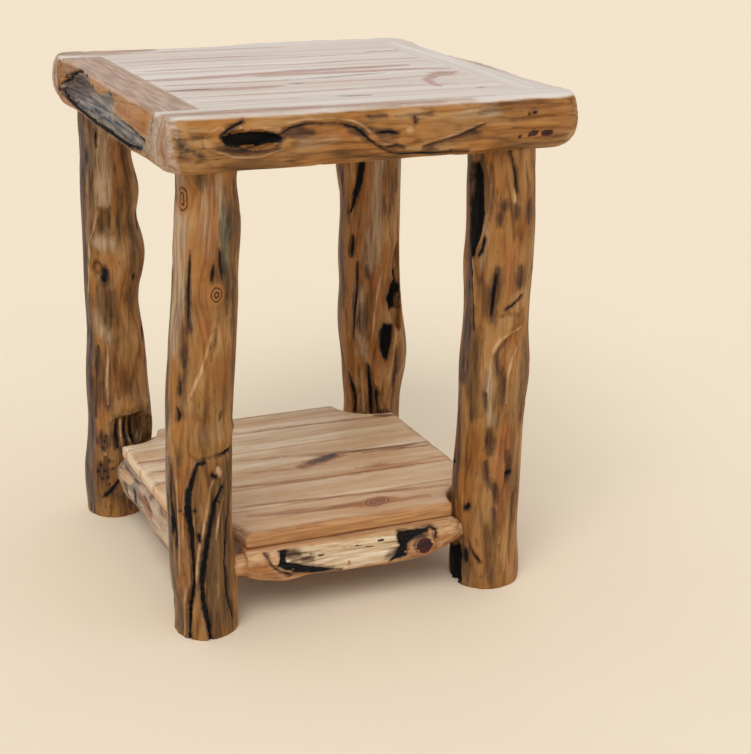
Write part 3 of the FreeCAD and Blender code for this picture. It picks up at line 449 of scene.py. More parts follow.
# A peeled log: mottled wood with the marks painted on the mesh; planed is for the half logs alone
def logMaterial(name, shades, planed=False):
    material, tree, surface = newMaterial(name)
    grain = readNode(tree, "grain", "Vector")
    roughs = roughNoises(tree, grain)
    fields = placeGroup(tree, grainGroup, {"Grain": grain, "Width": shades["width"],
                                           "Stretch": shades["stretch"]})
    look = peeledLook
    tone = 0.0
    for field, share in look["tone"].items():
        tone = mathNode(tree, "MULTIPLY_ADD", fields[field], share, tone)
    # Painted shade and light: the furrows of the relief darken the tone and its swells lighten it
    furrow = mathNode(tree, "SUBTRACT", readNode(tree, "furrow"), 0.5)
    tone = mathNode(tree, "MULTIPLY_ADD", furrow, look["furrow"], tone)
    body = rampNode(tree, tone, [(place, shades[part]) for part, place in look["stops"].items()])
    warm = stretchedNoise(tree, grain, (21, 21, 10), 3, 0.55)
    for patch in ("glow", "dull"):
        shown = stepNode(tree, warm, *look[patch], shades[patch + "Amount"])
        body = mixNode(tree, shown, body, shades[patch])
    for field, amount in (("Rings", look["rings"]), ("Creases", look["creases"])):
        body = mixNode(tree, mathNode(tree, "MULTIPLY", fields[field], amount), body, shades["deep"])
    flecks = placeGroup(tree, fleckGroup, {"Grain": grain, "Amount": look["flecks"]})["Mask"]
    body = mixNode(tree, flecks, body, markShades["stain"][0])
    for wear, stops in (("weather", weatherShades), ("worn", wornShades)):
        body = mixNode(tree, markMask(tree, roughs, wear), body, rampNode(tree, roughs["streaks"], stops))
    # Washes of tint: some of the dark ones also paint shade, and some of the pale ones paint highlights
    for wash in ("bleach", "ashen", "red", "grey", "shade", "slate", "pale", "stain"):
        body = layMark(tree, roughs, body, wash)
    body = layKnots(tree, roughs, body, colour(58, 30, 16), colour(178, 116, 58))
    body = layMark(tree, roughs, body, "moss")
    height = fields["Height"]
    if planed:
        top = placeGroup(tree, planedGroup, {"Grain": grain, **planedShades})
        sawn = layMark(tree, roughs, layMark(tree, roughs, top["Color"], "tan"), "heart")
        cut = markMask(tree, roughs, "planed")
        body = mixNode(tree, cut, body, sawn)
        height = mathNode(tree, "MULTIPLY", height,
                          mathNode(tree, "MULTIPLY_ADD", cut, look["planed"], 1.0))
    # Painted shade: a dark brown shadow round cracks, holes and hollows, then black inside them
    body = layMark(tree, roughs, body, "halo", "bark")
    body = layMark(tree, roughs, body, "bark")
    body = layMark(tree, roughs, body, "pit")
    gloss = mathNode(tree, "SUBTRACT", fields["Fibres"], 0.5)
    gloss = mathNode(tree, "MULTIPLY_ADD", gloss, look["gloss"], shades["roughness"])
    gloss = mathNode(tree, "MULTIPLY_ADD", markMask(tree, roughs, "bark"), look["black"], gloss)
    finishSurface(tree, surface, body, gloss, bumpNode(tree, height, look["relief"], look["bump"]))
    return material


boardLook = {"gloss": 0.3, "relief": 0.2, "bump": 0.0008}


# Sawn and planed boards; washes replace the usual pair of shades of a mark
def boardMaterial(name, shades, roughness, washes, knotShades):
    material, tree, surface = newMaterial(name)
    grain = readNode(tree, "grain", "Vector")
    roughs = roughNoises(tree, grain)
    wood = placeGroup(tree, planedGroup, {"Grain": grain, **shades})
    body = mixNode(tree, readNode(tree, "tone"), wood["Color"], shades["Warm"])
    for wash in ("tan", "heart", "red", "stain"):
        body = layMark(tree, roughs, body, wash, pair=washes.get(wash))
    body = layKnots(tree, roughs, body, *knotShades)
    body = layMark(tree, roughs, body, "slate")
    gloss = mathNode(tree, "SUBTRACT", wood["Height"], 0.5)
    gloss = mathNode(tree, "MULTIPLY_ADD", gloss, boardLook["gloss"], roughness)
    bump = bumpNode(tree, wood["Height"], boardLook["relief"], boardLook["bump"])
    finishSurface(tree, surface, body, gloss, bump)
    return material


def dowelMaterial():
    material, tree, surface = newMaterial("dowelWood")
    place = tree.nodes.new("ShaderNodeTexCoord").outputs["Object"]
    grain = placeGroup(tree, grainGroup, {"Grain": place, "Width": 0.002, "Stretch": 8.0})
    wood = rampNode(tree, grain["Bands"], ((0.35, colour(176, 136, 92)), (0.65, colour(208, 174, 132))))
    finishSurface(tree, surface, wood, 0.6, bumpNode(tree, grain["Fibres"], 0.3, 0.0004))
    return material


def steelMaterial():
    material, tree, surface = newMaterial("screwSteel")
    place = tree.nodes.new("ShaderNodeTexCoord").outputs["Object"]
    turned = noiseNode(tree, vectorNode(tree, "MULTIPLY", place, (1, 1, 12)), 160.0, 3, 0.5)
    steel = rampNode(tree, turned, ((0.35, colour(150, 140, 112)), (0.65, colour(186, 176, 148))))
    surface.inputs["Metallic"].default_value = 1.0
    gloss = stepNode(tree, turned, 0.3, 0.7, 0.45)
    finishSurface(tree, surface, steel, gloss, bumpNode(tree, turned, 0.3, 0.0003))
    return material


legWood = logMaterial("legWood", legShades)
edgeWood = logMaterial("edgeWood", edgeShades, planed=True)
stretcherWood = logMaterial("stretcherWood", stretcherShades)
peeledWood = logMaterial("peeledWood", peeledShades)
topWood = boardMaterial("topBoardWood", planedShades, 0.5, {},
                        (colour(158, 116, 100), colour(202, 170, 150)))
shelfWood = boardMaterial("shelfWood", shelfShades, 0.46, shelfWashes,
                          (colour(120, 74, 48), colour(184, 132, 94)))
dowelWood = dowelMaterial()
screwSteel = steelMaterial()
print("materials made")

# Kinds of mark. Depth is in mm, and a negative one stands proud. Slope is how far outside the mark it
# starts, run how far inside it is full, lip the height of a rim round it. Taper is how wide the ends
# of a line are, as a share. Masks say what shows there, and how many mm wider it is than the mark. What
# a kind doesn't say is as in a plain mark, and it shows its own name's mask.
plainMark = {"depth": 0, "slope": 1.0, "taper": 0.5, "lip": 0}
markKinds = {
    # Cracks, grooves, holes and hollows are painted near black inside, as painted shade
    "crack": {"depth": 1.6, "taper": 0.3, "masks": {"bark": -0.1}},
    "groove": {"depth": 4.0, "slope": 1.6, "taper": 0.35, "masks": {"bark": -0.4}},
    "hole": {"depth": 2.6, "slope": 0.8, "taper": 0.9, "masks": {"bark": 0.3}},
    "pit": {"depth": 2.0, "taper": 0.9, "masks": {"pit": 0.2}},
    "furrow": {"depth": 2.2, "slope": 3.0, "taper": 0.4, "masks": {"stain": -1.8}},
    # A ridge's pale mask is a painted highlight along its top
    "ridge": {"depth": -1.5, "slope": 2.0, "taper": 0.3, "masks": {"pale": -0.2}},
    "lobe": {"depth": -3.2, "slope": 7.0, "taper": 0.4, "masks": {}},
    "dash": {"depth": 0.8, "slope": 0.6, "taper": 0.4, "masks": {"pit": 0}},
    "burl": {"depth": -1.6, "slope": 1.5, "run": 5.0, "lip": 1.4, "masks": {"pit": 0}},
    "stain": {"depth": 0.4, "slope": 2.0, "taper": 0.45},
    "pale": {},
    "knot": {"depth": -0.8, "slope": 2.0, "taper": 1.0, "masks": {}},
    "heart": {"taper": 0.3},
    "tan": {"taper": 0.6},
    "red": {},
    # Painted shade, sunk a little
    "shade": {"depth": 0.8, "slope": 4.0, "taper": 0.6},
    "bleach": {"taper": 0.7},
    "ashen": {"taper": 0.8},
    "grey": {"taper": 0.7},
    "slate": {"taper": 0.7},
    "hollow": {"depth": 8.0, "slope": 0.6, "run": 6.0, "lip": 1.2, "masks": {"bark": 0}},
    "weathered": {"depth": 6.0, "slope": 0.6, "run": 9.0, "lip": 1.8, "masks": {"weather": 0}},
    "worn": {"depth": 2.8, "slope": 0.6, "run": 3.0, "lip": 0.8},
    "moss": {"depth": 1.6, "slope": 0.6, "run": 4.0, "lip": 0.4},
    # A dent and a cavern are painted darker: a painted shadow under the dent's overhang, painted shade in
    # the cavern
    "dent": {"depth": 3.2, "run": 8.0, "lip": 1.6, "masks": {"shade": 1}},
    "cavern": {"depth": 5.0, "slope": 0.8, "run": 7.0, "lip": 1.6, "masks": {"shade": 3}},
    # A shallow patch painted black where a recess lies in shade: painted shade
    "blackened": {"depth": 1.2, "slope": 0.6, "run": 3.0, "masks": {"bark": 0}},
}
deepMark = 1.9    # mm: marks this deep are cut before the fresh remesh, the others after it
maskNames = ("bark", "stain", "shade", "bleach", "ashen", "red", "pale", "grey", "slate", "moss",
             "weather", "worn", "heart", "tan", "planed", "pit", "knot")

# Where marks on a flat face lie: the two axes that they are written in, and the way the face looks
sides = {
    "front": {"axes": (0, 2), "facing": (0, -1, 0)},
    "back": {"axes": (0, 2), "facing": (0, 1, 0)},
    "left": {"axes": (1, 2), "facing": (-1, 0, 0)},
    "right": {"axes": (1, 2), "facing": (1, 0, 0)},
    "top": {"axes": (0, 1), "facing": (0, 0, 1)},
}


def smooth(values, low, high):
    share = np.clip((values - low) / (high - low), 0, 1)
    return share * share * (3 - 2 * share)


def noiseAt(points, size, stretch=(1, 1, 1), detail=0, shift=0):    # size in mm, answers -1 to 1
    scaled = points * 1000 / size / np.array(stretch) + shift
    if detail:
        return np.array([noise.fractal(spot, 1.0, 2.0, detail) for spot in scaled.tolist()])
    return np.array([noise.noise(spot) for spot in scaled.tolist()])


def readMesh(piece):
    mesh = piece.data
    points = np.empty(len(mesh.vertices) * 3)
    mesh.vertices.foreach_get("co", points)
    normals = np.empty(len(mesh.vertices) * 3)
    mesh.vertex_normals.foreach_get("vector", normals)
    return points.reshape(-1, 3), normals.reshape(-1, 3)


def writePoints(piece, points):
    piece.data.vertices.foreach_set("co", points.ravel())
    piece.data.update()


def writeValues(piece, name, values, kind="FLOAT", field="value"):
    layer = piece.data.attributes.new(name, kind, "POINT")
    layer.data.foreach_set(field, values.astype(float).ravel())


def writeMasks(piece, masks):    # a mask that is nowhere near the piece isn't written
    for name, values in masks.items():
        if values.max() > -farOff:
            writeValues(piece, name, np.clip(values + farOff, 0, 2 * farOff))


# Distance from each spot to a bent line, and how far along the line the nearest place is
def lineField(spots, path):
    nearest = np.full(len(spots), 1e9)
    share = np.zeros(len(spots))
    steps = [math.dist(start, end) for start, end in zip(path, path[1:])]
    total = sum(steps) or 1
    done = 0
    for (start, end), step in zip(zip(path, path[1:]), steps):
        start, way = np.array(start), np.array(end) - np.array(start)
        along = np.clip(((spots - start) @ way) / max(step * step, 1e-9), 0, 1)
        gap = np.linalg.norm(spots - start - along[:, None] * way, axis=1)
        closer = gap < nearest
        nearest[closer] = gap[closer]
        share[closer] = (done + along[closer] * step) / total
        done += step
    return nearest, share


# Distance to an outline, positive inside it
def patchField(spots, outline):
    ring = list(outline) + [outline[0]]
    gap, _ = lineField(spots, ring)
    inside = np.zeros(len(spots), bool)
    for (x1, y1), (x2, y2) in zip(ring, ring[1:]):
        if y1 == y2:
            continue
        crosses = (spots[:, 1] > min(y1, y2)) & (spots[:, 1] <= max(y1, y2))
        meets = x1 + (spots[:, 1] - y1) * (x2 - x1) / (y2 - y1)
        inside ^= crosses & (spots[:, 0] < meets)
    return np.where(inside, gap, -gap)


# Spots in mm on the unrolled surface, the mark's points in the same terms, the ways across the grain
# and outward, how far each point faces the mark's side, and which of a spot's two parts is across
def unroll(points, normals, layout, path):
    if "centre" in layout:
        offset = points * 1000 - np.array((*layout["centre"], 0))
        angle = np.arctan2(offset[:, 1], offset[:, 0])
        first = path[0][0]
        arc = layout["radius"] * math.pi / 180
        spots = np.column_stack((((np.degrees(angle) - first + 180) % 360 - 180) * arc, offset[:, 2]))
        line = [(((turn - first + 180) % 360 - 180) * arc, height) for turn, height in path]
        across = np.column_stack((-np.sin(angle), np.cos(angle), np.zeros(len(points))))
        outward = np.column_stack((np.cos(angle), np.sin(angle), np.zeros(len(points))))
        return spots, line, across, outward, np.ones(len(points)), 0
    spots = points[:, layout["axes"]] * 1000
    facing = np.array(layout["facing"], float)
    weight = smooth(normals @ facing, 0.1, 0.45)
    number = 1 if layout["grain"] == layout["axes"][0] else 0
    across = np.zeros((len(points), 3))
    across[:, layout["axes"][number]] = 1
    return spots, list(path), across, np.tile(facing, (len(points), 1)), weight, number


# How marks are cut, in mm: size of the noise at their edges, where a lip rises and where it falls. Then
# how far round a knot or hollow the fibres part, to the sides and along, and by how much.
carving = {"ragged": 7, "rise": (-5, -1), "fall": (-1, 0.5), "aside": 1.4, "along": 1.5, "parting": 0.55}


# Adds up what all marks do: how far each point moves, how far inside each mask it is, and how the
# grain bends there
def markField(points, normals, layout, marks, deep):
    masks = {name: np.full(len(points), -2.0 * farOff) for name in maskNames}
    move = np.zeros((len(points), 3))
    bend = np.zeros((len(points), 3))
    ragged = noiseAt(points, carving["ragged"], detail=2)
    for mark in marks:
        kind, path = mark[0], mark[-1]
        settings = {**plainMark, "masks": {kind: 0}, **markKinds[kind]}
        isDeep = settings["depth"] >= deepMark
        if deep and not isDeep:
            continue
        spots, line, across, outward, weight, number = unroll(points, normals, layout, path)
        width = mark[1] if len(mark) == 3 else 0
        if width:
            if len(line) == 1:
                line = line * 2
            gap, share = lineField(spots, line)
            taper = settings["taper"]
            swell = np.sqrt(np.sin(math.pi * np.clip(share, 0.02, 0.98)))
            reach = width / 2 * (taper + (1 - taper) * swell)
            inside = reach - gap + ragged * min(1.2, width * 0.14)
        else:
            inside = patchField(spots, line) + ragged * 0.8
        if isDeep == deep:
            run = settings.get("run", width * 0.4)
            height = -settings["depth"] * smooth(inside, -settings["slope"], run)
            lip = settings["lip"] * smooth(inside, *carving["rise"])
            height += lip * (1 - smooth(inside, *carving["fall"]))
            move += outward * (height * weight)[:, None] / 1000
        hidden = (1 - weight) * 2 * farOff
        for name, wider in settings["masks"].items():
            masks[name] = np.maximum(masks[name], inside + wider - hidden)
        if kind == "knot":
            masks["knot"] = np.maximum(masks["knot"], 1 - 2 * gap / width - hidden)
        if kind in ("knot", "hollow", "moss"):    # fibres part round these
            spread = np.array(line)
            middle = spread.mean(0)
            size = np.ptp(spread, axis=0) / 2 + width * 0.9 + 5
            offset = spots - middle
            other = 1 - number
            aside = (offset[:, number] / (size[number] * carving["aside"])) ** 2
            along = (offset[:, other] / (size[other] * carving["along"])) ** 2
            parted = offset[:, number] * np.exp(-aside - along) * carving["parting"]
            bend -= across * (parted * weight)[:, None] / 1000
    return move, masks, bend


# The axes as the materials take them, the last one along the grain
grainOrders = {"x": (1, 2, 0), "y": (0, 2, 1), "z": (0, 1, 2)}


def deselectAll():
    bpy.ops.object.select_all(action="DESELECT")


def choose(piece):
    deselectAll()
    piece.select_set(True)
    bpy.context.view_layer.objects.active = piece


def copyOfNode(node, name):
    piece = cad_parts[node].copy()
    piece.data = piece.data.copy()
    piece.name = name
    piece.parent = None
    bpy.context.collection.objects.link(piece)
    piece.data.materials.clear()
    choose(piece)
    bpy.ops.object.mode_set(mode="EDIT")
    bpy.ops.mesh.select_all(action="SELECT")
    bpy.ops.mesh.remove_doubles(threshold=0.00001)
    bpy.ops.object.mode_set(mode="OBJECT")
    return piece


def remesh(piece, voxel):
    choose(piece)
    piece.data.remesh_voxel_size = voxel / 1000
    piece.data.remesh_voxel_adaptivity = 0
    bpy.ops.object.voxel_remesh()


# Sawn faces come back flat and crisp after a remesh; eased rounds their arrises a little
def flatten(piece, planes, voxel, eased=0.0):
    points, _ = readMesh(piece)
    held = np.zeros(points.shape, bool)
    middle = (points.max(0) + points.min(0)) / 2
    for axis, place in planes:
        near = np.abs(points[:, axis] - place / 1000) < voxel * 0.72 / 1000
        points[near, axis] = place / 1000
        held[near, axis] = True
    corners = held.sum(1) >= 2
    for axis, place in planes:
        rim = corners & held[:, axis] & (np.abs(points[:, axis] - place / 1000) < 1e-6)
        points[rim, axis] += np.sign(middle[axis] - place / 1000) * eased / 1000
    writePoints(piece, points)


# Rubs down the corners of the chosen points
def rubDown(piece, chosen, times):
    mesh = piece.data
    mesh.polygons.foreach_set("select", np.zeros(len(mesh.polygons), bool))
    mesh.edges.foreach_set("select", np.zeros(len(mesh.edges), bool))
    mesh.vertices.foreach_set("select", chosen)
    choose(piece)
    bpy.context.tool_settings.mesh_select_mode = (True, False, False)
    bpy.ops.object.mode_set(mode="EDIT")
    bpy.ops.mesh.vertices_smooth(factor=0.5, repeat=times)
    bpy.ops.object.mode_set(mode="OBJECT")


# What all logs share: how much swell stretches as a share of the furrows' stretch, where a furrow ends,
# and how much less relief there is in black hollows. Planed wood ends where the upward part of the
# normal falls to planedLean, and planedFade turns what is above that into mm.
shared = {"swellStretch": 0.3, "furrowEdge": 0.22, "quiet": 0.6, "planedLean": 0.42, "planedFade": 14}


# Dresses a log: deep marks, a fresh remesh, then fine relief, masks and grain
def dressLog(piece, settings, layouts, planes=(), rubbed=None):
    voxel = settings["fineMesh"]
    remesh(piece, settings["coarseMesh"])
    points, normals = readMesh(piece)
    for layout, marks in layouts:
        move, _, _ = markField(points, normals, layout, marks, True)
        points = points + move
    writePoints(piece, points)
    remesh(piece, voxel)
    flatten(piece, planes, voxel)
    if rubbed:
        points, _ = readMesh(piece)
        rubDown(piece, rubbed(points * 1000), settings["rubs"])
    points, normals = readMesh(piece)
    held = np.zeros(points.shape, bool)
    for axis, place in planes:
        held[:, axis] |= np.abs(points[:, axis] * 1000 - place) < 0.02
    masks = {name: np.full(len(points), -2.0 * farOff) for name in maskNames}
    bend = np.zeros(points.shape)
    move = np.zeros(points.shape)
    for layout, marks in layouts:
        moved, found, bent = markField(points, normals, layout, marks, False)
        move += moved
        bend += bent
        for name, values in found.items():
            masks[name] = np.maximum(masks[name], values)
    stretch = [1, 1, 1]
    axis = "xyz".index(settings["grain"])
    stretch[axis] = settings["stretch"]
    mild = [1 + (part - 1) * shared["swellStretch"] for part in stretch]
    swell = noiseAt(points, settings["swellSize"], mild, shift=settings["seed"])
    rough = noiseAt(points + bend, settings["furrowSize"], stretch, 2, settings["seed"] + 7)
    fine = noiseAt(points + bend, settings["fibreSize"], stretch, shift=settings["seed"] + 13)
    furrow = smooth(np.abs(rough), 0.0, shared["furrowEdge"]) * 2 - 1
    relief = swell * settings["swell"] + furrow * settings["furrow"] + fine * settings["fibre"]
    quiet = 1 - shared["quiet"] * smooth(masks["bark"], 0, 2)
    move += normals * (relief * quiet)[:, None] / 1000
    move[held] = 0
    # Planed colour, and where it reaches down the rounded arris also a painted highlight
    if settings.get("planedFrom"):
        above = points[:, 2] * 1000 - settings["planedFrom"]
        level = (normals[:, 2] - shared["planedLean"]) * shared["planedFade"]
        masks["planed"] = np.minimum(above, level)
    writePoints(piece, points + move)
    pith = np.array(settings["pith"]) / 1000
    grain = (points + bend - pith)[:, grainOrders[settings["grain"]]]
    if axis < 2:    # the end of a level log shows upright stripes
        ends = np.abs(normals[:, axis]) > 0.8
        grain[ends] = points[ends][:, (axis, 1 - axis, 2)]
    writeValues(piece, "grain", grain, "FLOAT_VECTOR", "vector")
    # Painted shade and light: the tone is darker in the furrows and lighter on the swells
    writeValues(piece, "furrow", np.clip(0.5 + furrow * 0.3 + swell * 0.25, 0, 1))
    writeMasks(piece, masks)
    choose(piece)


# Marks for the far sides of the legs, strewn from the leg's own seed: how many, between which turns and
# heights, how wide each kind is, and how often it comes
strewn = {"count": 40, "turns": (-14, 148), "heights": (15, 560), "length": (16, 80), "drift": 9,
          "widths": {"crack": 2.0, "stain": 9, "ridge": 4, "furrow": 6, "groove": 5, "knot": 16, "hole": 3,
                     "grey": 14, "shade": 12, "bleach": 14, "red": 8},
          "kinds": ("crack", "stain", "stain", "ridge", "furrow", "furrow", "groove", "knot", "hole",
                    "grey", "shade", "shade", "bleach", "red")}


def strewnMarks(seed):
    luck = random.Random(seed)
    marks = []
    for _ in range(strewn["count"]):
        turn, height = luck.uniform(*strewn["turns"]), luck.uniform(*strewn["heights"])
        drift = luck.uniform(-strewn["drift"], strewn["drift"])
        half = luck.uniform(*strewn["length"]) / 2
        kind = luck.choice(strewn["kinds"])
        width = strewn["widths"][kind] * luck.uniform(0.7, 1.3)
        path = [(turn, height - half), (turn + drift * 0.4, height), (turn + drift, height + half)]
        marks.append((kind, width, [(turn, height)] if kind in ("knot", "hole") else path))
    return marks


